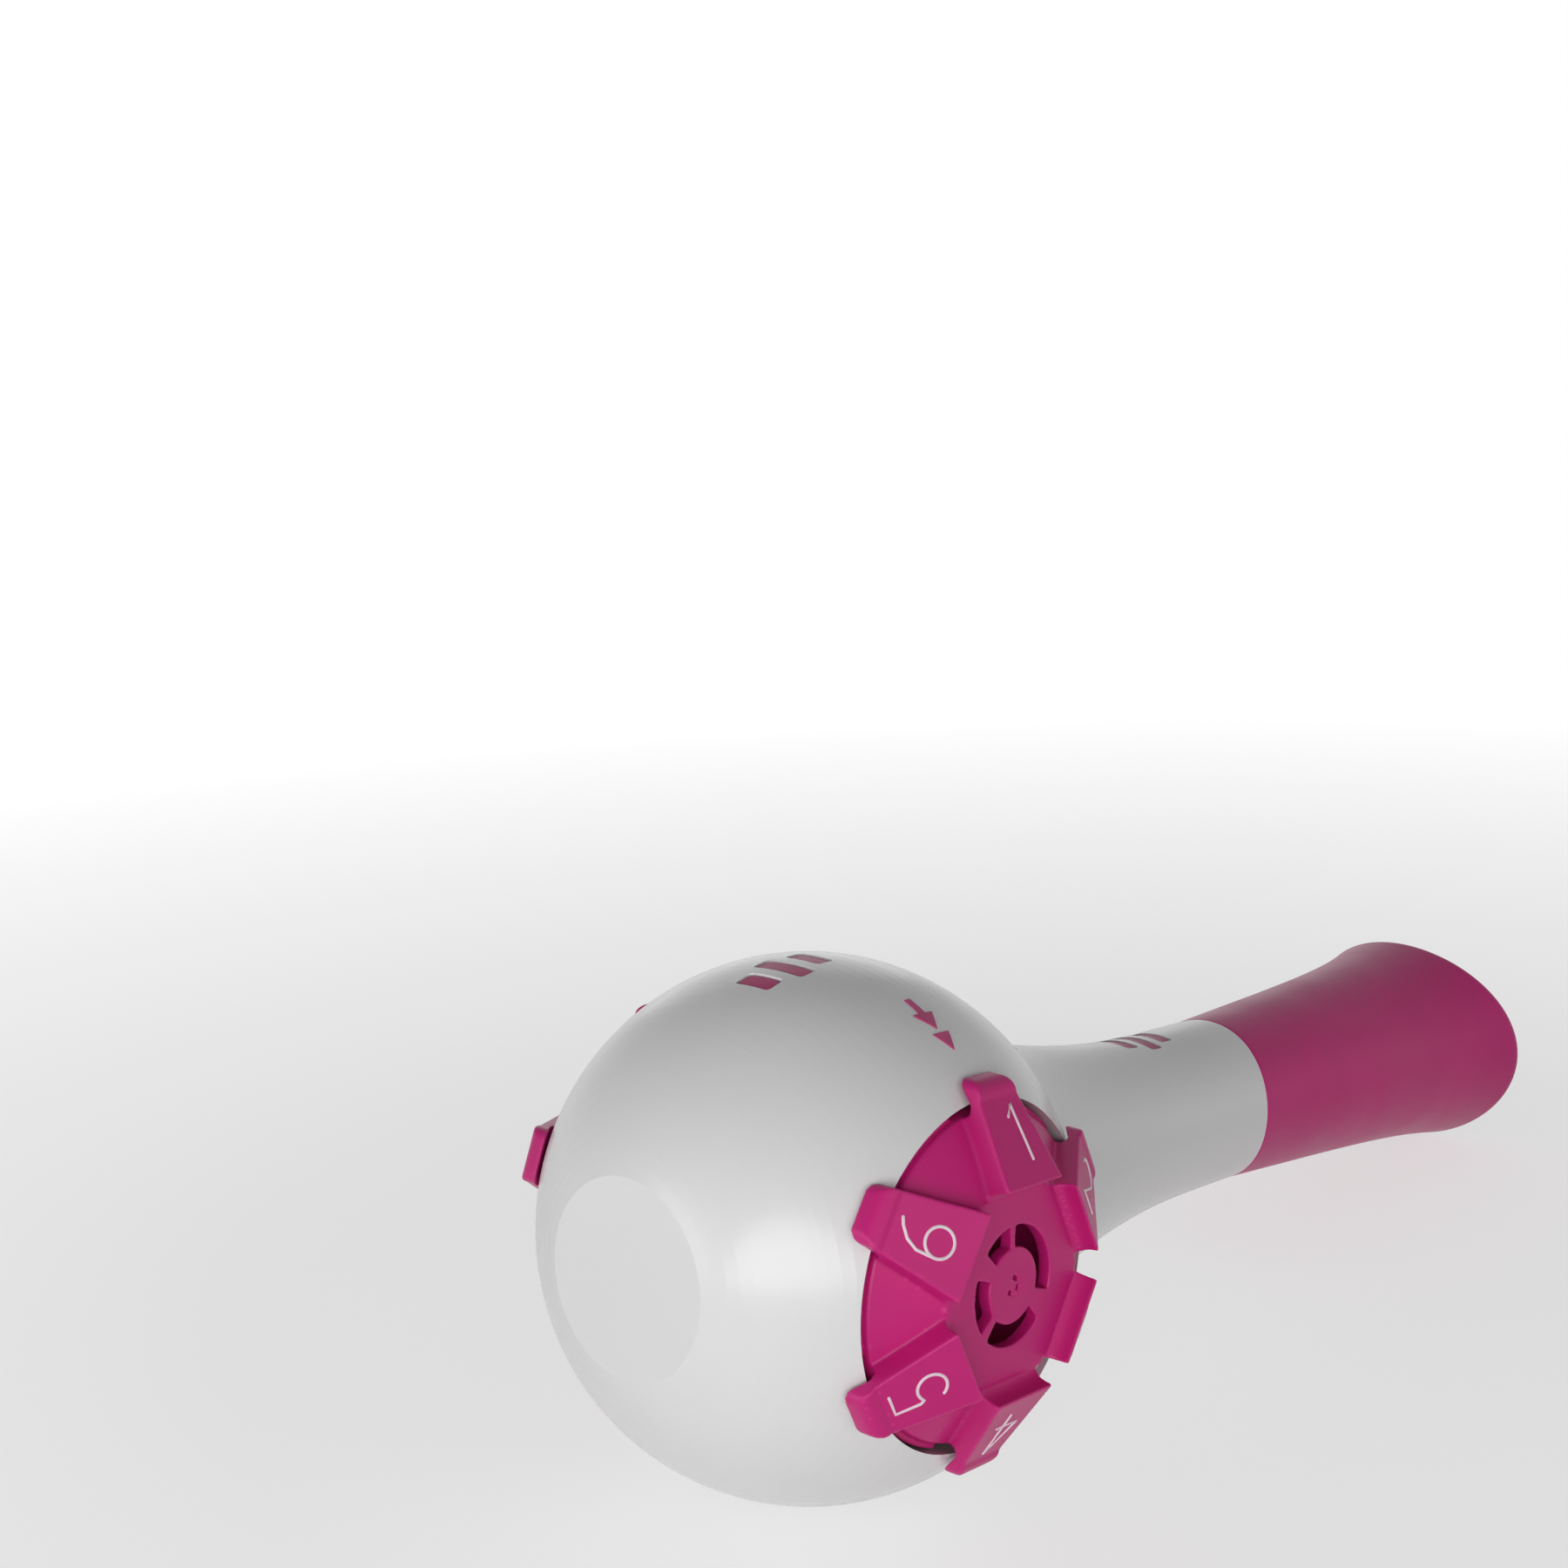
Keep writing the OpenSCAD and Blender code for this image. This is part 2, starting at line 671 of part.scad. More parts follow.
// Two crossed bars of a cage, cut to a disc
module cage_bars(r, low, high) {
    intersection() {
        disc(r, low, high);
        for (turn = [0, 90]) rotate([0, 0, turn])
            translate([-r, -guide_r, low]) cube([2 * r, 2 * guide_r, high - low]);
    }
}

// The breathe-in cage hangs under its plate: a ring, crossed bars and the guide pin
inhale_cage_t = flap_t + flap_lift + cage_bar_t + 4 * face_gap;
inhale_cage_h = flange_h - inhale_cage_t;
module inhale_flap_cage() {
    bar_top = inhale_cage_h + cage_bar_t;
    color(inner_colour) on_side(INHALE) at_port() {
        ring(cage_in_r + cage_wall, cage_in_r, inhale_cage_h, flange_h);
        cage_bars(cage_in_r + cage_wall / 2, inhale_cage_h, bar_top);
        disc(guide_r, inhale_cage_h, flange_h - seat_gap);
    }
}

// The breathe-out cage sits in its pocket, over the flap
exhale_seat_h = exhale_face_h - pocket_depth;
exhale_cage_h = exhale_seat_h + seat_gap + flap_t + flap_lift + face_gap;
module exhale_flap_cage() {
    out_r = pocket_r - push_gap;
    color(inner_colour) on_side(EXHALE) at_port() {
        ring(out_r, out_r - cage_wall, exhale_cage_h, exhale_cage_h + cage_bar_t);
        cage_bars(out_r - cage_wall / 2, exhale_cage_h, exhale_cage_h + cage_bar_t);
        disc(guide_r, exhale_seat_h + seat_gap, exhale_cage_h + cage_bar_t);
    }
}

// A one-way flap between two heights, with the hole for its guide pin
module flap(low) {
    color(rubber_colour) at_port() ring(flap_r, guide_r + run_gap, low, low + flap_t);
}

module inhale_flap() { on_side(INHALE) flap(flange_h - seat_gap - flap_t); }
module exhale_flap() { on_side(EXHALE) flap(exhale_seat_h + seat_gap); }

// A strip spring bent round the air-hole disc, with a bump that faces a notch
module click_spring(count, disc_edge_r, face_h) {
    high = face_h + click_h;
    bump_x = disc_edge_r + seat_gap + click_bump_r;
    color(steel_colour) rotate([0, 0, tab_angle(click_setting(count), count)]) {
        intersection() {
            ring(click_r + click_t, click_r, face_h, high);
            rotate([0, 0, -click_half_angle]) sector(2 * click_half_angle, face_h, high);
        }
        for (turn = [-1, 1]) rotate([0, 0, turn * click_half_angle])
            translate([click_r, -click_foot_l / 2, face_h]) cube([click_foot_w, click_foot_l, click_h]);
        intersection() {
            translate([bump_x, 0, 0]) disc(click_bump_r, face_h, high);
            ring(click_r + click_t / 2, 0, face_h, high);
        }
    }
}

// A wedge of a disc, from angle zero to a span
module sector(span, low, high) {
    translate([0, 0, low]) rotate_extrude(angle = span, $fn = fine_fn) square([bulb_r, high - low]);
}

module inhale_click_spring() {
    on_side(INHALE) click_spring(inhale_count, orifice_r, inhale_face_h);
}
module exhale_click_spring() {
    on_side(EXHALE) click_spring(exhale_count, exhale_orifice_r, exhale_face_h);
}

// A disc with one air hole for each setting and a notch for each click
module orifice_disc(r, low, count, bore_r) {
    difference() {
        disc(r, low, low + orifice_t);
        disc(bore_r, low - over, low + orifice_t + over);
        for (i = [0:count - 1]) rotate([0, 0, tab_angle(i, count)]) {
            translate([port_pitch_r, 0, 0]) disc(hole_r(i, count), low - over, low + orifice_t + over);
            translate([r + notch_r / 4, 0, 0]) disc(notch_r, low - over, low + orifice_t + over);
        }
    }
}

module inhale_orifice_disc() {
    color(accent_colour) on_side(INHALE)
        orifice_disc(orifice_r, inhale_orifice_h, inhale_count, inhale_screw_r + push_gap);
}
module exhale_orifice_disc() {
    color(inner_colour) on_side(EXHALE)
        orifice_disc(exhale_orifice_r, exhale_orifice_h, exhale_count, exhale_screw_r + run_gap);
}

// Half the width of a tab at a radius: its sides run straight from the hub to its end
function tab_half(root_half, r) =
    let (run = tab_end_r - tab_corner_r - hub_flat_r)
    root_half - (root_half - tab_end_half) * (r - hub_flat_r) / run;

// A tab seen from above: wide at the hub, narrow and rounded at its end
corner_steps = 5;
function tab_plan(root_half) =
    let (c = tab_corner_r, e = tab_end_half, x = tab_end_r)
    concat([[hub_flat_r / 2, -tab_half(root_half, hub_flat_r / 2)]],
        [for (i = [0:corner_steps]) let (a = -90 + 90 * i / corner_steps)
            [x - c + c * cos(a), -e + c + c * sin(a)]],
        [for (i = [0:corner_steps]) let (a = 90 * i / corner_steps)
            [x - c + c * cos(a), e - c + c * sin(a)]],
        [[hub_flat_r / 2, tab_half(root_half, hub_flat_r / 2)]]);

// A tab seen from its side: from the sunk face of the hub it climbs in a hollow bend to its
// crest, falls evenly from there, and ends in a rounded nose. Its under side is clear of
// the shell.
tab_bend_share = 0.8;
function tab_bend() =
    let (low = hub_face_h - crease_drop,
        x = hub_flat_r + tab_bend_share * (tab_crest_r - hub_flat_r),
        p = [[hub_flat_r, low], [x, low], [tab_crest_r, tab_crest_h]])
    [for (i = [0:corner_steps]) let (t = i / corner_steps)
        pow(1 - t, 2) * p[0] + 2 * t * (1 - t) * p[1] + pow(t, 2) * p[2]];
function tab_side() =
    let (c = tab_nose_r, x = tab_end_r, under_x = opening_r - ledge_gap)
    concat([[hub_flat_r / 3, disc_edge_h], [hub_flat_r / 3, hub_face_h - crease_drop]], tab_bend(),
        [for (i = [0:corner_steps]) let (a = 90 - 90 * i / corner_steps)
            [x - c + c * cos(a), tab_crease_h - c + c * sin(a)]],
        [[x, bulb_h(x) + 1.5 * tab_lift], [x - c / 3, bulb_h(x - c / 3) + tab_lift],
         [under_x, bulb_h(under_x) + tab_lift], [disc_step_r, bulb_h(under_x) + tab_lift],
         [disc_step_r - ledge_w, disc_edge_h - disc_t / 2]]);

module tab(root_half) {
    intersection() {
        translate([0, 0, disc_edge_h - disc_t])
            linear_extrude(height = tab_crest_h + over - disc_edge_h + disc_t)
                polygon(tab_plan(root_half));
        rotate([90, 0, 0]) translate([0, 0, -bulb_r]) linear_extrude(height = 2 * bulb_r)
            polygon(tab_side());
    }
}

// The cut beside and under one tab, in the disc's step
module vent_cut(root_half) {
    half_angle = asin((tab_half(root_half, disc_step_r) + vent_margin) / disc_step_r);
    rotate([0, 0, -half_angle]) rotate_extrude(angle = 2 * half_angle, $fn = fine_fn)
        translate([disc_step_r + seat_gap, ledge_h - disc_t - over])
            square([2 * ledge_w, disc_t + over + tab_lift / 4]);
}

// A dial's disc from a radius outwards: the top of its cone, the step, and the rim's under side
function plate_points(in_r) =
    let (low = ledge_h - disc_t)
    [[in_r, disc_h(in_r)], [disc_step_r, disc_edge_h], [disc_step_r, ledge_h], [dial_r, ledge_h],
     [dial_r, low], [disc_step_r - disc_t, low]];

module tabs(count, root_half) {
    for (i = [0:count - 1]) rotate([0, 0, tab_angle(i, count)]) tab(root_half);
}

module vent_cuts(count, root_half) {
    for (i = [0:count - 1]) rotate([0, 0, tab_angle(i, count)]) vent_cut(root_half);
}

// An arc-shaped hole through the hub, given clockwise from tab one
module arc_cut(span, in_r, out_r, low) {
    translate([0, 0, low]) rotate([0, 0, 90 - span[1]])
        rotate_extrude(angle = span[1] - span[0], $fn = fine_fn)
            translate([in_r, 0]) square([out_r - in_r, bulb_r - low]);
}

// The breathe-in hub, with a corner between each two tabs
module hub_block() {
    translate([0, 0, disc_edge_h]) rotate([0, 0, tab_angle(1 / 2, inhale_count)])
        cylinder(r = hub_corner_r, h = hub_face_h - disc_edge_h, $fn = inhale_count);
}

module inhale_dial() {
    orifice_top = inhale_orifice_h + orifice_t;
    under_h = hub_face_h - hub_face_t;
    skirt_in_r = orifice_r - skirt_wall;
    inner_r = hub_flat_r - skirt_wall;
    color(accent_colour) on_side(INHALE) difference() {
        union() {
            difference() {
                union() {
                    rotate_extrude($fn = fine_fn) polygon(concat(plate_points(hub_corner_r),
                        [[orifice_r, disc_h(orifice_r) - disc_t], [orifice_r, orifice_top],
                         [0, orifice_top], [0, disc_root_h]]));
                    tabs(inhale_count, inhale_tab_half);
                    hub_block();
                }
                rotate_extrude($fn = fine_fn) polygon([
                    [0, orifice_top - over], [skirt_in_r, orifice_top - over],
                    [skirt_in_r, disc_root_h - hub_face_t], [inner_r, under_h], [0, under_h]]);
            }
            disc(post_r, orifice_top, under_h + hub_face_t / 4);
        }
        for (span = window_angles) arc_cut(span, window_in_r, window_out_r, under_h - over);
        for (span = slot_angles)
            arc_cut(span, slot_ring_r - slot_w / 2, slot_ring_r + slot_w / 2, hub_face_h - hub_face_t / 2);
        vent_cuts(inhale_count, inhale_tab_half);
        disc(inhale_screw_r + push_gap, orifice_top - over, orifice_top + post_depth + seat_gap);
    }
}

// The breathe-out cup's inside, from its centre up to its rim, with a rounded floor
function cup_inside(shift) =
    let (r = cup_round, x = cup_floor_r + shift - r, h = cup_floor_h - shift + r)
    concat([[0, cup_floor_h - shift]],
        [for (i = [0:5]) let (a = -90 + 90 * i / 5) [x + r * cos(a), h + r * sin(a)]],
        [[cup_mouth_r + shift, cup_rim_h]]);

module exhale_dial() {
    sink_h = cup_floor_h - head_sink_t;
    boss_low = exhale_floor_h - exhale_boss_t;
    color(accent_colour) on_side(EXHALE) difference() {
        union() {
            rotate_extrude($fn = fine_fn) polygon(concat(cup_inside(cup_wall), [[0, cup_rim_h]]));
            rotate_extrude($fn = fine_fn)
                polygon(concat(plate_points(cup_mouth_r), [[cup_mouth_r, disc_h(cup_mouth_r) - disc_t]]));
            difference() {
                tabs(exhale_count, exhale_tab_half);
                disc(cup_mid_r, cup_floor_h, tab_crest_h + over);
            }
            disc(exhale_boss_r, boss_low, cup_floor_h);
        }
        rotate_extrude($fn = fine_fn) polygon(concat(cup_inside(0),
            [[cup_mouth_r, cup_rim_h + over], [0, cup_rim_h + over]]));
        disc(cup_hole_r, sink_h, cup_floor_h + over);
        disc(exhale_screw_r + run_gap, boss_low - over, cup_floor_h + over);
        vent_cuts(exhale_count, exhale_tab_half);
    }
}

module inhale_spindle_screw() {
    color(steel_colour) on_side(INHALE) {
        disc(screw_head_r, inhale_head_h - screw_head_t, inhale_head_h);
        disc(inhale_screw_r, inhale_head_h - screw_head_t / 2,
            inhale_orifice_h + orifice_t + post_depth);
    }
}

module inhale_spindle_washer() {
    color(steel_colour) on_side(INHALE)
        ring(washer_r, inhale_screw_r + run_gap, inhale_head_h, inhale_head_h + washer_t);
}

module exhale_spindle_screw() {
    low = exhale_face_h - plate_floor_t - stud_boss_l + seat_gap;
    color(steel_colour) on_side(EXHALE) {
        disc(exhale_head_r, exhale_head_h, exhale_head_h + exhale_head_t);
        disc(exhale_screw_r, low, exhale_head_h + exhale_head_t / 2);
    }
}

// Strokes of the numerals, in a box numeral_w wide and numeral_h high about its centre
module stroke(x1, y1, x2, y2) {
    dx = (x2 - x1) * numeral_w;
    dy = (y2 - y1) * numeral_h;
    translate([x1 * numeral_w, y1 * numeral_h, 0]) rotate([0, 0, atan2(dy, dx)])
        translate([-stroke_w / 2, -stroke_w / 2, 0]) cube([norm([dx, dy]) + stroke_w, stroke_w, mark_t]);
}

// An arc stroke of radius r about a place, from one angle through a span
module bow(x, y, r, from, span) {
    translate([x * numeral_w, y * numeral_h, 0]) rotate([0, 0, from])
        rotate_extrude(angle = span, $fn = fine_fn) translate([r - stroke_w / 2, 0]) square([stroke_w, mark_t]);
}

// Round bowls of the numerals
bowl_r = 0.42 * numeral_w;
bowl_y_share = -0.5 + bowl_r / numeral_h;

module numeral(n) {
    if (n == 1) {
        stroke(0.34, -0.5, 0.34, 0.5);
        stroke(0.04, 0.28, 0.34, 0.5);
    }
    if (n == 2) {
        bow(0, 0.5 - bowl_r / numeral_h, bowl_r, -30, 190);
        stroke(-0.42, -0.5, 0.36, 0.5 - 1.5 * bowl_r / numeral_h);
        stroke(-0.42, -0.5, 0.42, -0.5);
    }
    if (n == 3) {
        stroke(-0.36, 0.5, 0.36, 0.5);
        stroke(-0.1, 0.02, 0.36, 0.5);
        bow(0, bowl_y_share, bowl_r, -140, 235);
    }
    if (n == 4) {
        stroke(0.16, -0.5, 0.16, 0.5);
        stroke(-0.42, -0.2, 0.16, 0.5);
        stroke(-0.42, -0.2, 0.42, -0.2);
    }
    if (n == 5) {
        stroke(-0.28, 0.5, 0.36, 0.5);
        stroke(-0.34, 0.06, -0.28, 0.5);
        bow(-0.02, bowl_y_share, bowl_r, -140, 280);
    }
    if (n == 6) {
        bow(0, bowl_y_share, bowl_r, 0, 360);
        stroke(-0.4, bowl_y_share + 0.02, 0.14, 0.5);
    }
}

// The numerals on a dial's tabs, centred at a radius, tops to the tabs' ends
module numerals(count, place_r) {
    for (i = [0:count - 1]) rotate([0, 0, tab_angle(i, count)])
        translate([place_r, 0, tab_h(place_r)]) rotate([0, tab_fall, 0]) rotate([0, 0, -90])
            numeral(i + 1);
}

// Breathe-in numerals hang from the tabs' rounded ends, breathe-out ones stand midway
// along what the cup leaves free
inhale_numeral_r = tab_crease_r - numeral_gap - numeral_h * cos(tab_fall) / 2;
exhale_numeral_r = (cup_out_r + tab_crease_r) / 2;
module inhale_numerals() { color("white") on_side(INHALE) numerals(inhale_count, inhale_numeral_r); }
module exhale_numerals() { color("white") on_side(EXHALE) numerals(exhale_count, exhale_numeral_r); }

// The bars of a grip mark: they fill their recesses and stop just below the shell's face
module grip_inlay(place_x) {
    color(accent_colour) laid() difference() {
        intersection() {
            grip_prisms(place_x, 0);
            body_solid(mark_t, seam_x);
        }
        body_solid(bar_depth, seam_x + over);
    }
}

module bulb_grip_inlay() { grip_inlay(bulb_bars_x); }
module shoulder_grip_inlay() { grip_inlay(shoulder_bars_x); }
module neck_grip_inlay() { grip_inlay(neck_bars_x); }

// An arrow outline about its centre, pointing along +Y
function arrow_points() =
    let (w = arrow_w / 2, h = arrow_h / 2, stem = arrow_stem_share * arrow_w / 2,
        neck = h - arrow_head_share * arrow_h)
    [[-stem, -h], [stem, -h], [stem, neck], [w, neck], [0, h], [-w, neck], [-stem, neck]];

// A thin mark on the bulb's outside, where a ray at an angle from the dial's axis meets it
module bulb_mark(angle, points) {
    intersection() {
        difference() {
            body_solid(-mark_t, seam_x);
            body_solid(0, seam_x + over);
        }
        rotate([90, 0, 0]) rotate([-angle, 0, 0]) linear_extrude(height = bulb_r + over) polygon(points);
    }
}

// A triangle that points at tab one, and an arrow for the way the air goes
module pointer(side) {
    flow = side == INHALE ? -1 : 1;
    color(accent_colour) laid() rotate([0, 0, side == INHALE ? 0 : 180]) mirror_neck(side) {
        bulb_mark(pointer_angle, [[0, -pointer_h / 2], [pointer_w / 2, pointer_h / 2],
            [-pointer_w / 2, pointer_h / 2]]);
        bulb_mark(arrow_angle, flow * arrow_points());
    }
}

// The bulb is the same on both sides of its middle near the dials
module mirror_neck(side) {
    if (side == INHALE) children();
    else mirror([1, 0, 0]) children();
}

module inhale_pointer() { pointer(INHALE); }
module exhale_pointer() { pointer(EXHALE); }

upper_shell();
lower_shell();
neck_tube();
mouthpiece();
mouthpiece_seal();
inhale_port_plate();
exhale_port_plate();
inhale_gasket();
exhale_gasket();
inhale_port_seal();
exhale_port_seal();
inhale_flap_cage();
exhale_flap_cage();
inhale_flap();
exhale_flap();
inhale_click_spring();
exhale_click_spring();
inhale_dial();
exhale_dial();
inhale_orifice_disc();
exhale_orifice_disc();
inhale_numerals();
exhale_numerals();
inhale_spindle_screw();
inhale_spindle_washer();
exhale_spindle_screw();
bulb_grip_inlay();
shoulder_grip_inlay();
neck_grip_inlay();
inhale_pointer();
exhale_pointer();
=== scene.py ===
"""Dresses the hand-held breathing trainer: a white bulb and neck, a magenta mouthpiece and two dials.

Sizes inside the sub-assemblies are in millimetres in the trainer's own drawing frame: X along the neck,
Y out of the breathe-out dial, Z up, origin at the bulb's centre. AxisFrame lays them on the table in metres.
"""

import json
import logging
import math
from dataclasses import dataclass, field
from enum import Enum
from typing import Callable, Iterable, Sequence

import bmesh
import bpy
import numpy as np
from mathutils import Matrix, Vector


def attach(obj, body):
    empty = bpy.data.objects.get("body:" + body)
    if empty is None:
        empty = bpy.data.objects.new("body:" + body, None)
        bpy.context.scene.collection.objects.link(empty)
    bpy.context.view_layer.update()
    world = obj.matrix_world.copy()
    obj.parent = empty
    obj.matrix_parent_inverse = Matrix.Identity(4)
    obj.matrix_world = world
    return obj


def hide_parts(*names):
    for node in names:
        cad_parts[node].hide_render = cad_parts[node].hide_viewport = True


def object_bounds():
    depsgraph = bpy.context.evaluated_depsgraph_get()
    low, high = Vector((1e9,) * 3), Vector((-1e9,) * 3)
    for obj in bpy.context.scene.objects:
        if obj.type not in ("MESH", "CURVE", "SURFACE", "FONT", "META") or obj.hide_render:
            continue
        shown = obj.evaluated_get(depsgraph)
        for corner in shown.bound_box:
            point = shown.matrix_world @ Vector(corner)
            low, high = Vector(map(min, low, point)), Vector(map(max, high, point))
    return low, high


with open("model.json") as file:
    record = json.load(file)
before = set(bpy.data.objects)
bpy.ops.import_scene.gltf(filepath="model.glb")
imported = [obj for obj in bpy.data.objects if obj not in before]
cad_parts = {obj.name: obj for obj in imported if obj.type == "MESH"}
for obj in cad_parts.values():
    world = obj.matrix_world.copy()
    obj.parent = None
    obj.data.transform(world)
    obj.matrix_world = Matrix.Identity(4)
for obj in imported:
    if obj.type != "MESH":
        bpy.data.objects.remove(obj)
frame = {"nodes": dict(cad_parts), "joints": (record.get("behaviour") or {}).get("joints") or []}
CAD_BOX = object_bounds()

LOG = logging.getLogger("breathing_trainer")
MM = 0.001

Colour = tuple[float, float, float]
Point = tuple[float, float, float]
Ring = list[Point]
Span = tuple[float, float]
Node = bpy.types.Node
Socket = bpy.types.NodeSocket

FULL: Span = (0.0, 1.0)


class Slot(Enum):
    """The record's material slots, one for each kind of surface."""

    SHELL = "white_shell"
    MAGENTA = "magenta_plastic"
    INLAY = "magenta_print"
    INK = "white_print"
    INNER = "inner_plastic"
    SILICONE = "silicone"
    SPRING = "spring_steel"
    SCREW = "screw_steel"


class Body(Enum):
    """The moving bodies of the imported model."""

    HOUSING = "housing"
    INHALE_DIAL = "breathe_in_dial"
    EXHALE_DIAL = "breathe_out_dial"
    MOUTHPIECE = "mouthpiece"


class Side(Enum):
    """Which side of the bulb a dial is on, as the sign of its axis along Y."""

    INHALE = -1
    EXHALE = 1


@dataclass(frozen=True)
class NoisePattern:
    """One noise texture: cycles in a metre, octaves of finer noise, how much it is bent, and the
    stretch of its values that counts."""

    scale: float
    detail: float
    distortion: float = 0.0
    span: Span = FULL


class Shader:
    """Adds and links nodes in one node tree, a material's or a group's."""

    first_colour = 6
    second_colour = 7
    mixed_colour = 2

    def __init__(self, tree: bpy.types.NodeTree) -> None:
        """Keeps the tree that the nodes go into.

        Args:
            tree: the node tree of a material or a group.
        """
        self.tree = tree

    def add(self, kind: str, **settings: object) -> Node:
        """Adds a node.

        Args:
            kind: the node's type name.
            settings: properties of the node, or values of its input sockets by their name,
                with underscores for the spaces.

        Returns:
            The new node.
        """
        node = self.tree.nodes.new(kind)
        for name, value in settings.items():
            if hasattr(node, name):
                setattr(node, name, value)
            else:
                node.inputs[name.replace("_", " ")].default_value = value
        return node

    def link(self, source: Socket, target: Socket) -> None:
        """Joins an output socket to an input socket."""
        self.tree.links.new(source, target)

    def noise(self, place: Socket, pattern: NoisePattern) -> Node:
        """Adds a noise texture on a place.

        Args:
            place: the socket that gives the texture's place, in metres.
            pattern: the noise.

        Returns:
            The noise node.
        """
        node = self.add(
            "ShaderNodeTexNoise", Scale=pattern.scale, Detail=pattern.detail, Distortion=pattern.distortion)
        self.link(place, node.inputs["Vector"])
        return node

    def stretch(self, source: Socket, span: Span, to: Span = FULL) -> Socket:
        """Maps a value from one range to another, clamped.

        Args:
            source: the value.
            span: the two values that become the ends of the new range.
            to: the two ends of the new range.

        Returns:
            The socket of the mapped value.
        """
        node = self.add("ShaderNodeMapRange", From_Min=span[0], From_Max=span[1], To_Min=to[0], To_Max=to[1])
        self.link(source, node.inputs["Value"])
        return node.outputs["Result"]

    def patches(self, place: Socket, pattern: NoisePattern, to: Span = FULL) -> Socket:
        """Adds a noise texture and maps the stretch of its values that counts.

        Args:
            place: the socket that gives the texture's place, in metres.
            pattern: the noise.
            to: the two ends of the new range.

        Returns:
            The socket of the mapped value.
        """
        return self.stretch(self.noise(place, pattern).outputs["Fac"], pattern.span, to)

    def maths(self, operation: str, first: Socket | float, second: Socket | float) -> Socket:
        """Adds a Math node on two values or sockets.

        Args:
            operation: the Math node's operation.
            first: a socket or a number.
            second: a socket or a number.

        Returns:
            The result's socket.
        """
        node = self.add("ShaderNodeMath", operation=operation)
        for index, value in enumerate((first, second)):
            if isinstance(value, Socket):
                self.link(value, node.inputs[index])
            else:
                node.inputs[index].default_value = value
        return node.outputs[0]

    def blend(self, share: Socket, first: Socket, second: Socket) -> Socket:
        """Mixes two colours.

        Args:
            share: how much of the second colour shows, from 0 to 1.
            first: the colour at 0.
            second: the colour at 1.

        Returns:
            The mixed colour's socket.
        """
        node = self.add("ShaderNodeMix", data_type="RGBA")
        self.link(share, node.inputs["Factor"])
        self.link(first, node.inputs[self.first_colour])
        self.link(second, node.inputs[self.second_colour])
        return node.outputs[self.mixed_colour]


@dataclass
class EffectGroup:
    """A shader node group with named inputs and outputs, built once and used by many materials."""

    name: str
    inputs: dict[str, str]
    outputs: dict[str, str]
    fill: Callable[["EffectGroup"], None]
    shader: Shader = field(init=False)
    entry: Node = field(init=False)
    leave: Node = field(init=False)
    tree: bpy.types.NodeTree = field(init=False)

    def __post_init__(self) -> None:
        """Makes the group's sockets and fills it."""
        self.tree = bpy.data.node_groups.new(self.name, "ShaderNodeTree")
        for name, kind in self.inputs.items():
            self.tree.interface.new_socket(name, in_out="INPUT", socket_type=kind)
        for name, kind in self.outputs.items():
            self.tree.interface.new_socket(name, in_out="OUTPUT", socket_type=kind)
        self.shader = Shader(self.tree)
        self.entry = self.shader.add("NodeGroupInput")
        self.leave = self.shader.add("NodeGroupOutput")
        self.fill(self)

    def give(self, name: str) -> Socket:
        """Returns the socket inside the group of one of its inputs."""
        return self.entry.outputs[name]

    def put(self, name: str, source: Socket) -> None:
        """Sends a value inside the group to one of its outputs."""
        self.shader.link(source, self.leave.inputs[name])

    def place(self) -> Socket:
        """Returns the place on the surface, in metres, inside the group."""
        return self.shader.add("ShaderNodeTexCoord").outputs["Object"]


COLOUR_SOCKET = "NodeSocketColor"
VALUE_SOCKET = "NodeSocketFloat"


FLOW_MARKS = NoisePattern(38.0, 3.0, 1.6, (0.35, 0.7))
SPECKS = NoisePattern(900.0, 2.0, 0.0, (0.64, 0.74))
GLOSS_PATCHES = NoisePattern(85.0, 5.0, 0.6, (0.3, 0.75))
SLOW_WAVE = NoisePattern(140.0, 1.0)
EITHER_WAY: Span = (-0.5, 0.5)
GRAIN_DETAIL = 2.0


def fill_moulded_skin(group: EffectGroup) -> None:
    """Fills the group for moulded plastic: faint flow marks, a fine grain and an uneven gloss.

    Args:
        group: the group to fill.
    """
    shader = group.shader
    place = group.place()
    flow = shader.maths("MULTIPLY", shader.patches(place, FLOW_MARKS), group.give("Flow Amount"))
    fleck = shader.maths("MULTIPLY", shader.patches(place, SPECKS), group.give("Fleck Amount"))
    share = shader.maths("ADD", flow, fleck)
    group.put("Colour", shader.blend(share, group.give("Base"), group.give("Flow")))
    spread = shader.patches(place, GLOSS_PATCHES, EITHER_WAY)
    spread = shader.maths("MULTIPLY", spread, group.give("Roughness Spread"))
    group.put("Roughness", shader.maths("ADD", group.give("Roughness"), spread))
    grain = shader.add("ShaderNodeTexNoise", Detail=GRAIN_DETAIL)
    shader.link(place, grain.inputs["Vector"])
    shader.link(group.give("Grain Scale"), grain.inputs["Scale"])
    wave = shader.noise(place, SLOW_WAVE)
    slow = shader.maths("MULTIPLY", wave.outputs["Fac"], group.give("Waviness"))
    group.put("Height", shader.maths("ADD", grain.outputs["Fac"], slow))


SCRATCH_BEND = NoisePattern(45.0, 2.0)
SCRATCH_PIECES = NoisePattern(160.0, 2.0, 0.0, (0.6, 0.7))
SMUDGES = NoisePattern(52.0, 4.0, 0.8, (0.45, 0.8))
SCRATCH_SHIFT = 0.02
SCRATCH_CELLS = 85.0
SCRATCH_LINE: Span = (0.0, 0.004)


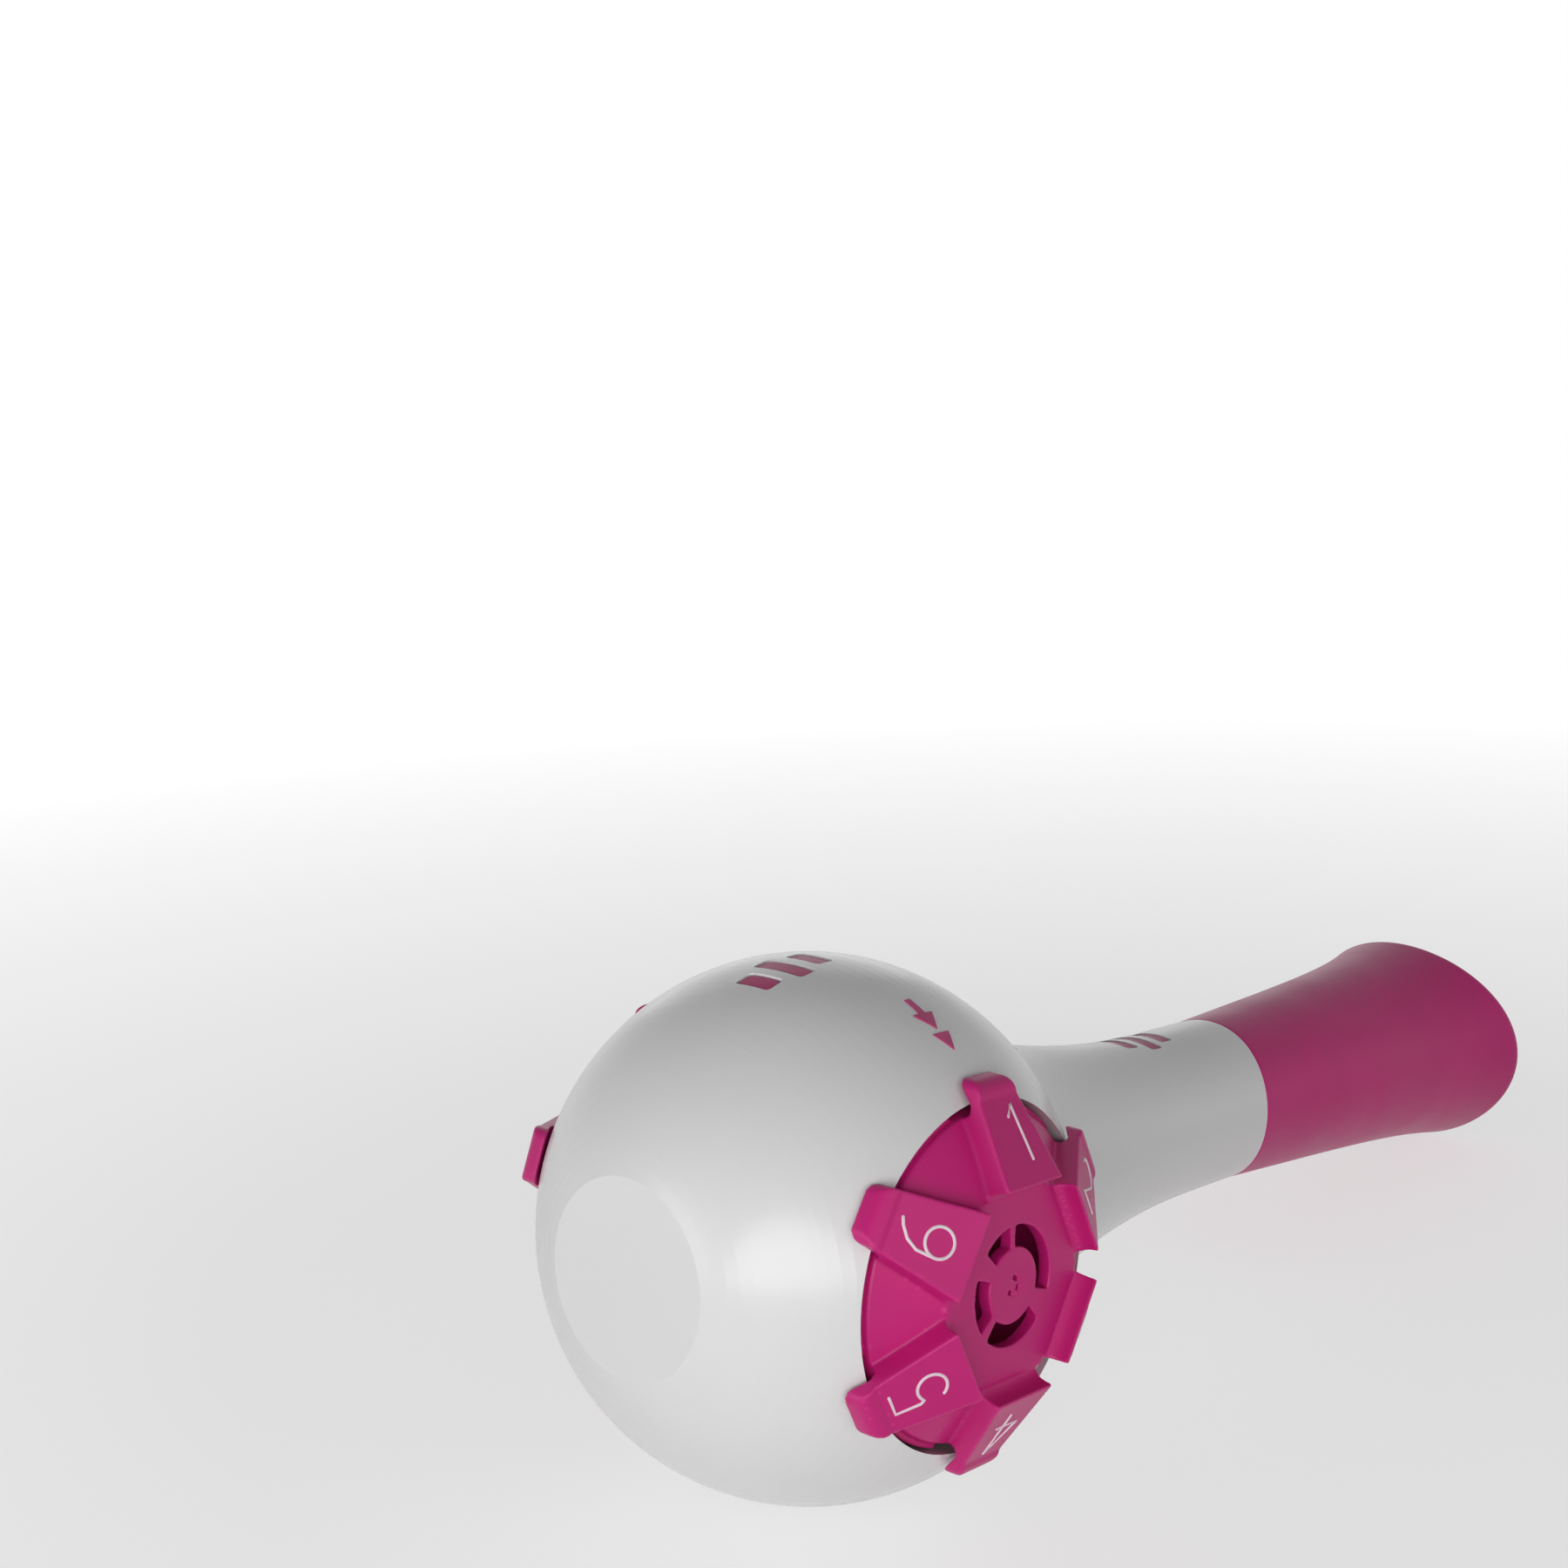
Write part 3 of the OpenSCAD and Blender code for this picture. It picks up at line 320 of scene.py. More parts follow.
def fill_handling(group: EffectGroup) -> None:
    """Fills the group for signs of handling: fine scratches and dull finger smudges.

    Args:
        group: the group to fill.
    """
    shader = group.shader
    place = group.place()
    bent = shader.noise(place, SCRATCH_BEND)
    shift = shader.add("ShaderNodeVectorMath", operation="MULTIPLY_ADD")
    shift.inputs[1].default_value = (SCRATCH_SHIFT, SCRATCH_SHIFT, SCRATCH_SHIFT)
    shader.link(bent.outputs["Color"], shift.inputs[0])
    shader.link(place, shift.inputs[2])
    cells = shader.add("ShaderNodeTexVoronoi", feature="DISTANCE_TO_EDGE", Scale=SCRATCH_CELLS)
    shader.link(shift.outputs["Vector"], cells.inputs["Vector"])
    line = shader.stretch(cells.outputs["Distance"], SCRATCH_LINE, (1.0, 0.0))
    scratch = shader.maths("MULTIPLY", line, shader.patches(place, SCRATCH_PIECES))
    group.put("Scratch", scratch)
    dull = shader.maths("MULTIPLY", shader.patches(place, SMUDGES), group.give("Smudge"))
    total = shader.maths("ADD", group.give("Roughness"), dull)
    scuffed = shader.maths("MULTIPLY", scratch, group.give("Scuff"))
    group.put("Roughness", shader.maths("ADD", total, scuffed))


# Patches and bend limits for the painted highlight on edges and the painted shade in hollows.
EDGE_HIGHLIGHT_PATCHES = NoisePattern(420.0, 3.0, 0.0, (0.3, 0.7))
PARTLY_HIGHLIGHTED: Span = (0.55, 1.0)
EDGE_BEND: Span = (0.505, 0.54)
HOLLOW_BEND: Span = (0.495, 0.455)


def fill_edge_highlight_and_hollow_shade(group: EffectGroup) -> None:
    """Fills the group for painted light on edges: a painted highlight, in patches, where they stand out, and
    painted shade in the hollows.

    Args:
        group: the group to fill.
    """
    shader = group.shader
    bend = shader.add("ShaderNodeNewGeometry").outputs["Pointiness"]
    uneven = shader.patches(group.place(), EDGE_HIGHLIGHT_PATCHES, PARTLY_HIGHLIGHTED)
    # Paler where the surface bends outwards: a painted highlight on the edges, spread in patches.
    edge = shader.maths("MULTIPLY", shader.stretch(bend, EDGE_BEND), uneven)
    edge = shader.maths("MULTIPLY", edge, group.give("Edge Highlight Amount"))
    highlighted = shader.blend(edge, group.give("Colour"), group.give("Edge"))
    # Darker where the surface bends inwards: painted shade in the hollows.
    hollow = shader.maths("MULTIPLY", shader.stretch(bend, HOLLOW_BEND), group.give("Hollow Shade Amount"))
    group.put("Colour", shader.blend(hollow, highlighted, group.give("Hollow")))


METAL_LINES = NoisePattern(5200.0, 3.0, 0.0, (0.3, 0.7))
LINE_SQUEEZE: Point = (0.15, 1.0, 0.15)
LINE_ROUGHNESS: Span = (-0.06, 0.08)


def fill_turned_metal(group: EffectGroup) -> None:
    """Fills the group for drawn or turned metal: fine lines round or along the piece.

    Args:
        group: the group to fill.
    """
    shader = group.shader
    squeeze = shader.add("ShaderNodeVectorMath", operation="MULTIPLY")
    squeeze.inputs[1].default_value = LINE_SQUEEZE
    shader.link(group.place(), squeeze.inputs[0])
    lines = shader.noise(squeeze.outputs["Vector"], METAL_LINES)
    tint = shader.stretch(lines.outputs["Fac"], METAL_LINES.span)
    group.put("Colour", shader.blend(tint, group.give("Base"), group.give("Line")))
    rough = shader.stretch(lines.outputs["Fac"], METAL_LINES.span, LINE_ROUGHNESS)
    group.put("Roughness", shader.maths("ADD", group.give("Roughness"), rough))
    group.put("Height", lines.outputs["Fac"])


@dataclass
class EffectShelf:
    """The shared effects, each built once."""

    moulded: EffectGroup = field(init=False)
    handling: EffectGroup = field(init=False)
    edge_light_shade: EffectGroup = field(init=False)
    metal: EffectGroup = field(init=False)

    def __post_init__(self) -> None:
        """Builds the groups."""
        self.moulded = EffectGroup(
            "moulded_skin",
            {"Base": COLOUR_SOCKET, "Flow": COLOUR_SOCKET, "Flow Amount": VALUE_SOCKET,
             "Fleck Amount": VALUE_SOCKET, "Roughness": VALUE_SOCKET, "Roughness Spread": VALUE_SOCKET,
             "Grain Scale": VALUE_SOCKET, "Waviness": VALUE_SOCKET},
            {"Colour": COLOUR_SOCKET, "Roughness": VALUE_SOCKET, "Height": VALUE_SOCKET},
            fill_moulded_skin)
        self.handling = EffectGroup(
            "handling_marks",
            {"Roughness": VALUE_SOCKET, "Smudge": VALUE_SOCKET, "Scuff": VALUE_SOCKET},
            {"Roughness": VALUE_SOCKET, "Scratch": VALUE_SOCKET},
            fill_handling)
        # Painted highlight on the edges and painted shade in the hollows.
        self.edge_light_shade = EffectGroup(
            "edge_highlight_hollow_shade",
            {"Colour": COLOUR_SOCKET, "Edge": COLOUR_SOCKET, "Edge Highlight Amount": VALUE_SOCKET,
             "Hollow": COLOUR_SOCKET, "Hollow Shade Amount": VALUE_SOCKET},
            {"Colour": COLOUR_SOCKET},
            fill_edge_highlight_and_hollow_shade)
        self.metal = EffectGroup(
            "turned_metal",
            {"Base": COLOUR_SOCKET, "Line": COLOUR_SOCKET, "Roughness": VALUE_SOCKET},
            {"Colour": COLOUR_SOCKET, "Roughness": VALUE_SOCKET, "Height": VALUE_SOCKET},
            fill_turned_metal)


def place_group(shader: Shader, group: EffectGroup, values: dict[str, object]) -> Node:
    """Places a shared effect in a material with the material's own values.

    Args:
        shader: the material's node tree.
        group: the effect.
        values: the value or the socket for each of the effect's inputs.

    Returns:
        The group's node in the material.
    """
    node = shader.add("ShaderNodeGroup")
    node.node_tree = group.tree
    for name, value in values.items():
        if isinstance(value, Socket):
            shader.link(value, node.inputs[name])
        elif isinstance(value, tuple):
            node.inputs[name].default_value = (*value, 1.0)
        else:
            node.inputs[name].default_value = value
    return node


@dataclass(frozen=True)
class PlasticFinish:
    """A moulded surface: its colours, its gloss, the marks of moulding and handling, and a painted highlight
    on its edges and painted shade in its hollows.
    """

    slot: Slot
    base: Colour
    flow: Colour
    flow_amount: float
    roughness: float
    roughness_spread: float
    grain_scale: float
    grain_depth: float
    waviness: float = 1.0
    fleck_amount: float = 0.0
    smudge: float = 0.1
    scuff: float = 0.15
    scratch_depth: float = 0.002
    # Colour and share of the painted highlight on edges, then of the painted shade in hollows.
    edge: Colour = (1.0, 1.0, 1.0)
    edge_highlight_amount: float = 0.0
    hollow: Colour = (0.0, 0.0, 0.0)
    hollow_shade_amount: float = 0.0
    coat: float = 0.0
    coat_roughness: float = 0.1
    ior: float = 1.49
    gloss_level: float = 0.5
    clearness: float = 0.0

    def material(self, shelf: EffectShelf) -> bpy.types.Material:
        """Builds the finish.

        Args:
            shelf: the shared effects.

        Returns:
            The material.
        """
        material = bpy.data.materials.new(self.slot.value)
        material.use_nodes = True
        shader = Shader(material.node_tree)
        surface = material.node_tree.nodes["Principled BSDF"]
        skin = place_group(shader, shelf.moulded, {
            "Base": self.base, "Flow": self.flow, "Flow Amount": self.flow_amount,
            "Fleck Amount": self.fleck_amount, "Roughness": self.roughness,
            "Roughness Spread": self.roughness_spread,
            "Grain Scale": self.grain_scale, "Waviness": self.waviness})
        marks = place_group(shader, shelf.handling, {
            "Roughness": skin.outputs["Roughness"], "Smudge": self.smudge, "Scuff": self.scuff})
        # Paints a highlight on the edges and shade in the hollows.
        edge_lit_shaded = place_group(shader, shelf.edge_light_shade, {
            "Colour": skin.outputs["Colour"], "Edge": self.edge, "Edge Highlight Amount": self.edge_highlight_amount,
            "Hollow": self.hollow, "Hollow Shade Amount": self.hollow_shade_amount})
        shader.link(edge_lit_shaded.outputs["Colour"], surface.inputs["Base Color"])
        shader.link(marks.outputs["Roughness"], surface.inputs["Roughness"])
        grain = shader.add("ShaderNodeBump", Strength=1.0, Distance=self.grain_depth * MM)
        shader.link(skin.outputs["Height"], grain.inputs["Height"])
        cut = shader.add("ShaderNodeBump", invert=True, Strength=1.0, Distance=self.scratch_depth * MM)
        shader.link(marks.outputs["Scratch"], cut.inputs["Height"])
        shader.link(grain.outputs["Normal"], cut.inputs["Normal"])
        shader.link(cut.outputs["Normal"], surface.inputs["Normal"])
        surface.inputs["IOR"].default_value = self.ior
        surface.inputs["Specular IOR Level"].default_value = self.gloss_level
        surface.inputs["Coat Weight"].default_value = self.coat
        surface.inputs["Coat Roughness"].default_value = self.coat_roughness
        surface.inputs["Transmission Weight"].default_value = self.clearness
        return material


@dataclass(frozen=True)
class MetalFinish:
    """A metal surface with fine lines from drawing or turning."""

    slot: Slot
    base: Colour
    line: Colour
    roughness: float
    line_depth: float

    def material(self, shelf: EffectShelf) -> bpy.types.Material:
        """Builds the finish.

        Args:
            shelf: the shared effects.

        Returns:
            The material.
        """
        material = bpy.data.materials.new(self.slot.value)
        material.use_nodes = True
        shader = Shader(material.node_tree)
        surface = material.node_tree.nodes["Principled BSDF"]
        metal = place_group(shader, shelf.metal, {
            "Base": self.base, "Line": self.line, "Roughness": self.roughness})
        shader.link(metal.outputs["Colour"], surface.inputs["Base Color"])
        shader.link(metal.outputs["Roughness"], surface.inputs["Roughness"])
        bump = shader.add("ShaderNodeBump", Strength=1.0, Distance=self.line_depth * MM)
        shader.link(metal.outputs["Height"], bump.inputs["Height"])
        shader.link(bump.outputs["Normal"], surface.inputs["Normal"])
        surface.inputs["Metallic"].default_value = 1.0
        return material


FINISHES: tuple[PlasticFinish | MetalFinish, ...] = (
    PlasticFinish(
        Slot.SHELL, base=(0.77, 0.77, 0.77), flow=(0.74, 0.74, 0.745), flow_amount=0.3,
        roughness=0.24, roughness_spread=0.04, grain_scale=1500.0, grain_depth=0.002, waviness=0.3,
        smudge=0.03, scuff=0.05, scratch_depth=0.0003, coat=0.1, coat_roughness=0.12),
    PlasticFinish(
        Slot.MAGENTA, base=(0.57, 0.012, 0.185), flow=(0.47, 0.009, 0.15), flow_amount=0.4,
        roughness=0.38, roughness_spread=0.08, grain_scale=2600.0, grain_depth=0.006, waviness=0.4,
        # The edge colour is a painted highlight and the hollow colour is painted shade.
        smudge=0.06, scuff=0.1, scratch_depth=0.0012, edge=(0.72, 0.07, 0.30), edge_highlight_amount=0.3,
        hollow=(0.24, 0.004, 0.08), hollow_shade_amount=0.5, gloss_level=0.3),
    PlasticFinish(
        Slot.INLAY, base=(0.50, 0.014, 0.15), flow=(0.38, 0.01, 0.11), flow_amount=0.5,
        roughness=0.42, roughness_spread=0.1, grain_scale=3200.0, grain_depth=0.006, fleck_amount=0.25,
        # The edge colour is a painted highlight and the hollow colour is painted shade.
        edge=(0.7, 0.12, 0.33), edge_highlight_amount=0.35, hollow=(0.15, 0.004, 0.05), hollow_shade_amount=0.4),
    PlasticFinish(
        Slot.INK, base=(0.86, 0.74, 0.80), flow=(0.78, 0.52, 0.64), flow_amount=0.45,
        roughness=0.5, roughness_spread=0.12, grain_scale=4200.0, grain_depth=0.008, fleck_amount=0.3),
    PlasticFinish(
        Slot.INNER, base=(0.66, 0.65, 0.61), flow=(0.58, 0.57, 0.53), flow_amount=0.5,
        roughness=0.45, roughness_spread=0.1, grain_scale=2400.0, grain_depth=0.008, fleck_amount=0.2),
    PlasticFinish(
        Slot.SILICONE, base=(0.62, 0.64, 0.67), flow=(0.55, 0.57, 0.6), flow_amount=0.4,
        roughness=0.55, roughness_spread=0.12, grain_scale=3600.0, grain_depth=0.01, ior=1.41,
        clearness=0.12),
    MetalFinish(
        Slot.SPRING, base=(0.62, 0.61, 0.60), line=(0.50, 0.49, 0.48), roughness=0.26, line_depth=0.003),
    MetalFinish(
        Slot.SCREW, base=(0.70, 0.69, 0.66), line=(0.58, 0.57, 0.55), roughness=0.3, line_depth=0.005),
)


@dataclass
class Wardrobe:
    """All the finishes as materials, by their slot."""

    shelf: EffectShelf = field(default_factory=EffectShelf)
    materials: dict[Slot, bpy.types.Material] = field(default_factory=dict)

    def __post_init__(self) -> None:
        """Builds each finish once."""
        for finish in FINISHES:
            self.materials[finish.slot] = finish.material(self.shelf)

    def dress(self, obj: bpy.types.Object, slot: Slot) -> None:
        """Gives an object one finish all over.

        Args:
            obj: the object to dress.
            slot: the finish's slot.
        """
        obj.data.materials.clear()
        obj.data.materials.append(self.materials[slot])

    def dress_nodes(self, nodes: Iterable[str], slot: Slot) -> None:
        """Gives CAD nodes that stay as they are one finish.

        Args:
            nodes: the nodes' names.
            slot: the finish's slot.
        """
        for name in nodes:
            self.dress(frame["nodes"][name], slot)
            LOG.info("dressed %s with %s", name, slot.value)


@dataclass(frozen=True)
class AxisFrame:
    """Where the trainer's own drawing frame lies on the table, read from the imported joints."""

    place: Matrix

    @classmethod
    def from_joints(cls, joints: Sequence[dict]) -> "AxisFrame":
        """Reads the frame from the dial's axis and the way the mouthpiece slides.

        Args:
            joints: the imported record's joints.

        Returns:
            The drawing frame, which takes millimetres to metres on the table.
        """
        by_name = {joint["name"]: joint for joint in joints}
        dial = by_name["inhale_dial_turn"]["pos_m"]
        along = Vector(by_name["mouthpiece_pull"]["axis"]).normalized()
        across = Vector((0.0, 1.0, 0.0))
        turn = Matrix((along, across, along.cross(across))).transposed().to_4x4()
        return cls(Matrix.Translation((dial[0], 0.0, dial[2])) @ turn @ Matrix.Scale(MM, 4))

    def dial(self, side: Side) -> Matrix:
        """Returns the frame of a dial, with Z out of the dial and Y up the bulb."""
        facing = Matrix.Rotation(math.radians(90.0), 4, "X")
        if side is Side.EXHALE:
            facing = facing @ Matrix.Rotation(math.radians(180.0), 4, "Y")
        return self.place @ facing


class MeshBench:
    """Makes Blender objects out of points and faces."""

    sharp_angle = math.radians(38.0)
    weld_gap = 0.001
    smooth_share = 0.5

    @classmethod
    def finish_object(cls, name: str, mesh: bpy.types.Mesh) -> bpy.types.Object:
        """Smooths a mesh, keeps its sharp edges and puts it in the scene.

        Args:
            name: the object's name.
            mesh: the mesh.

        Returns:
            The object.
        """
        mesh.polygons.foreach_set("use_smooth", [True] * len(mesh.polygons))
        mesh.set_sharp_from_angle(angle=cls.sharp_angle)
        obj = bpy.data.objects.new(name, mesh)
        bpy.context.scene.collection.objects.link(obj)
        return obj

    @classmethod
    def from_rings(cls, name: str, rings: Sequence[Ring], place: Matrix) -> bpy.types.Object:
        """Skins rings of points, each joined to the next and the last to the first.

        Args:
            name: the object's name.
            rings: rings of equally many points.
            place: the frame that the points are in.

        Returns:
            The object.
        """
        sides = len(rings[0])
        count = len(rings)
        points = [place @ Vector(p) for ring in rings for p in ring]
        faces = []
        for i in range(count):
            j = (i + 1) % count
            for k in range(sides):
                n = (k + 1) % sides
                faces.append((i * sides + k, i * sides + n, j * sides + n, j * sides + k))
        mesh = bpy.data.meshes.new(name)
        mesh.from_pydata(points, [], faces)
        cls.turn_outwards(mesh)
        return cls.finish_object(name, mesh)

    @staticmethod
    def turn_outwards(mesh: bpy.types.Mesh) -> None:
        """Makes every face of a closed mesh look outwards.

        Args:
            mesh: the mesh, changed in place.
        """
        shape = bmesh.new()
        shape.from_mesh(mesh)
        bmesh.ops.recalc_face_normals(shape, faces=shape.faces)
        shape.to_mesh(mesh)
        shape.free()

    @classmethod
    def softened(cls, node: str, name: str, voxel: float, passes: int) -> bpy.types.Object:
        """Makes a finer copy of a CAD node whose edges are rounded as a mould leaves them.

        Args:
            node: the CAD node that the copy stands for.
            name: the new object's name.
            voxel: the size of the copy's mesh, in millimetres.
            passes: how often the copy is smoothed.

        Returns:
            The object, at the node's place.
        """
        source = frame["nodes"][node]
        obj = bpy.data.objects.new(name, source.data.copy())
        bpy.context.scene.collection.objects.link(obj)
        weld = obj.modifiers.new("weld", "WELD")
        weld.merge_threshold = cls.weld_gap * MM
        grid = obj.modifiers.new("grid", "REMESH")
        grid.mode = "VOXEL"
        grid.voxel_size = voxel * MM
        grid.use_smooth_shade = True
        smooth = obj.modifiers.new("smooth", "SMOOTH")
        smooth.factor = cls.smooth_share
        smooth.iterations = passes
        scene_now = bpy.context.evaluated_depsgraph_get()
        mesh = bpy.data.meshes.new_from_object(obj.evaluated_get(scene_now))
        mesh.name = name
        obj.modifiers.clear()
        obj.data = mesh
        mesh.polygons.foreach_set("use_smooth", [True] * len(mesh.polygons))
        return obj


@dataclass
class Mouthpiece:
    """The soft-edged mouthpiece: it swells evenly from the seam and flares to an oval saddle rim."""

    neck_r: float = 11.9
    seam_x: float = 88.2
    seam_wave: float = 2.0
    seam_gap: float = 0.1
    rim_x: float = 152.9
    rim_rise: float = 4.8
    rim_slant: float = 3.1
    rim_half_w: float = 18.5
    rim_half_h: float = 16.6
    taper: float = 3.4
    flare_power: float = 5.0
    wall: float = 1.9
    bore_r: float = 8.9
    socket_r: float = 10.5
    socket_end_x: float = 112.4
    edge_r: float = 0.3
    sides: int = 160
    outer_rings: int = 96
    lip_rings: int = 16
    inner_rings: int = 48
    edge_rings: int = 5

    def seam_at(self, y: float) -> float:
        """Returns how far along the neck the wavy seam lies, at a distance across it."""
        wave_r = (self.neck_r ** 2 + self.seam_wave ** 2) / (2.0 * self.seam_wave)
        return self.seam_x + self.seam_wave / 2.0 - wave_r + math.sqrt(wave_r ** 2 - y ** 2)

    def half(self, share: float, rim_half: float) -> float:
        """Returns a half axis of the outside at a share of the length."""
        swell = rim_half - self.neck_r - self.taper
        return self.neck_r + self.taper * share + swell * share ** self.flare_power

    def lip_x(self, angle: float) -> float:
        """Returns where the rim's round lip starts, at an angle from the top."""
        rise = self.rim_rise * math.sin(angle) ** 2
        return self.rim_x + rise - self.rim_slant * math.cos(angle) - self.wall / 2.0

    def outside(self, angle: float, share: float, along: float = 0.0, inwards: float = 0.0) -> Point:
        """Returns a point of the outside, moved along the neck and towards its axis."""
        y = (self.half(share, self.rim_half_w) - inwards) * math.sin(angle)
        z = (self.half(share, self.rim_half_h) - inwards) * math.cos(angle)
        first = self.seam_at(self.neck_r * math.sin(angle)) + self.seam_gap
        return (first + (self.lip_x(angle) - first) * share + along, y, z)

    def bore(self, angle: float, share: float) -> Point:
        """Returns a point of the air way, from the end of the socket to the lip."""
        grow = share * share * (3.0 - 2.0 * share)
        half_w = self.bore_r + (self.rim_half_w - self.wall - self.bore_r) * grow
        half_h = self.bore_r + (self.rim_half_h - self.wall - self.bore_r) * grow
        x = self.socket_end_x + (self.lip_x(angle) - self.socket_end_x) * share
        return (x, half_w * math.sin(angle), half_h * math.cos(angle))

    def socket(self, angle: float, x: float | None) -> Point:
        """Returns a point of the socket's wall, at the seam where no distance is given."""
        y = self.socket_r * math.sin(angle)
        return (self.seam_at(y) + self.seam_gap if x is None else x, y, self.socket_r * math.cos(angle))

    def rings(self) -> list[Ring]:
        """Returns all rings: the rounded seam edge, the outside, the lip, the air way and the socket."""
        angles = [2.0 * math.pi * k / self.sides for k in range(self.sides)]
        lip_r = self.wall / 2.0
        rings: list[Ring] = []
        for i in range(self.edge_rings):
            turn = 0.5 * math.pi * i / self.edge_rings
            along = self.edge_r * (1.0 - math.sin(turn))
            inwards = self.edge_r * (1.0 - math.cos(turn))
            rings.insert(0, [self.outside(a, 0.0, along, inwards) for a in angles])
        for i in range(1, self.outer_rings + 1):
            rings.append([self.outside(a, i / self.outer_rings) for a in angles])
        for i in range(1, self.lip_rings + 1):
            turn = math.pi * i / self.lip_rings
            along = lip_r * math.sin(turn)
            inwards = lip_r * (1.0 - math.cos(turn))
            rings.append([self.outside(a, 1.0, along, inwards) for a in angles])
        for i in range(self.inner_rings - 1, -1, -1):
            rings.append([self.bore(a, i / self.inner_rings) for a in angles])
        rings.append([self.socket(a, self.socket_end_x) for a in angles])
        rings.append([self.socket(a, None) for a in angles])
        return rings

    def build(self, axis: AxisFrame, wardrobe: Wardrobe) -> bpy.types.Object:
        """Builds and dresses the mouthpiece.

        Args:
            axis: the drawing frame.
            wardrobe: the finishes.

        Returns:
            The mouthpiece.
        """
        obj = MeshBench.from_rings("mouthpiece_soft", self.rings(), axis.place)
        wardrobe.dress(obj, Slot.MAGENTA)
        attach(obj, Body.MOUTHPIECE.value)
        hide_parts("mouthpiece")
        LOG.info("built the mouthpiece with %d faces", len(obj.data.polygons))
        return obj


@dataclass
class NumeralPen:
    """Draws the numerals as thin strokes with round ends, in a box about their centre."""

    height: float = 6.6
    width: float = 3.8
    stroke_w: float = 0.38
    thickness: float = 0.16
    sunk: float = 0.05
    sides: int = 12
    cap_steps: int = 4
    least_end_share: float = 0.08
    arc_step: float = math.radians(9.0)

    def arc(self, x: float, y: float, r: float, start: float, end: float) -> list[tuple[float, float]]:
        """Returns points on an arc, with its angles in degrees."""
        first, last = math.radians(start), math.radians(end)
        steps = max(2, math.ceil(abs(last - first) / self.arc_step))
        turns = [first + (last - first) * i / steps for i in range(steps + 1)]
        return [(x + r * math.cos(a), y + r * math.sin(a)) for a in turns]

    def strokes(self, digit: int) -> list[list[tuple[float, float]]]:
        """Returns the lines that draw a digit, in shares of half the box.

        Args:
            digit: the number to draw, from 1 to 6.

        Returns:
            One list of points for each stroke.
        """
        h = self.height / 2.0
        w = self.width / 2.0
        bowl = 0.9 * w
        low = bowl - h
        table = {
            1: [[(0.08 * w, 0.58 * h), (0.68 * w, h), (0.68 * w, -h)]],
            2: [self.arc(0.0, h - bowl, bowl, 165.0, -38.0) + [(-0.9 * w, -h), (0.92 * w, -h)]],
            3: [self.arc(0.0, h - 0.75 * w, 0.75 * w, 150.0, -80.0),
                self.arc(0.0, low, bowl, 84.0, -150.0)],
            4: [[(0.95 * w, -0.42 * h), (-0.95 * w, -0.42 * h), (0.36 * w, h), (0.36 * w, -h)]],
            5: [[(0.72 * w, h), (-0.6 * w, h), (-0.72 * w, 0.1 * h)]
                + self.arc(0.0, low + 0.04 * h, bowl, 130.0, -145.0)],
            6: [self.arc(0.0, low, bowl, 0.0, 360.0),
                [(-bowl, low), (-0.88 * w, 0.2 * h), (-0.5 * w, 0.62 * h), (0.1 * w, 0.9 * h),
                 (0.5 * w, h)]],
        }
        return table[digit]

    def sweep(self, line: Sequence[tuple[float, float]]) -> tuple[list[Point], list[tuple[int, ...]]]:
        """Sweeps a flat oval section along a line and rounds its ends.

        Args:
            line: the line's points.

        Returns:
            The points and the faces.
        """
        path = np.array(line, float)
        ahead = path[1] - path[0]
        ahead /= np.linalg.norm(ahead)
        behind = path[-1] - path[-2]
        behind /= np.linalg.norm(behind)
        half = 0.5 * self.stroke_w
        turns = [0.5 * math.pi * i / self.cap_steps for i in range(self.cap_steps)]
        sizes = [max(math.sin(a), self.least_end_share) for a in turns]
        stations = [(path[0] - ahead * half * math.cos(a), size) for a, size in zip(turns, sizes)]
        stations += [(p, 1.0) for p in path]
        caps = [(path[-1] + behind * half * math.cos(a), size) for a, size in zip(turns, sizes)]
        stations += reversed(caps)
        places = np.array([s[0] for s in stations])
        along = np.gradient(places, axis=0)
        along /= np.linalg.norm(along, axis=1)[:, None]
        points: list[Point] = []
        for (place, size), way in zip(stations, along):
            side = np.array([-way[1], way[0]])
            for k in range(self.sides):
                a = 2.0 * math.pi * k / self.sides
                flat = place + side * half * size * math.cos(a)
                rise = math.sin(a) * (self.thickness * size if math.sin(a) > 0.0 else self.sunk)
                points.append((float(flat[0]), float(flat[1]), rise))
        faces: list[tuple[int, ...]] = []
        last = (len(stations) - 1) * self.sides
        for here in range(0, last, self.sides):
            there = here + self.sides
            for k in range(self.sides):
                n = (k + 1) % self.sides
                faces.append((here + k, here + n, there + n, there + k))
        faces.append(tuple(range(self.sides)))
        faces.append(tuple(range(last, last + self.sides)))
        return points, faces


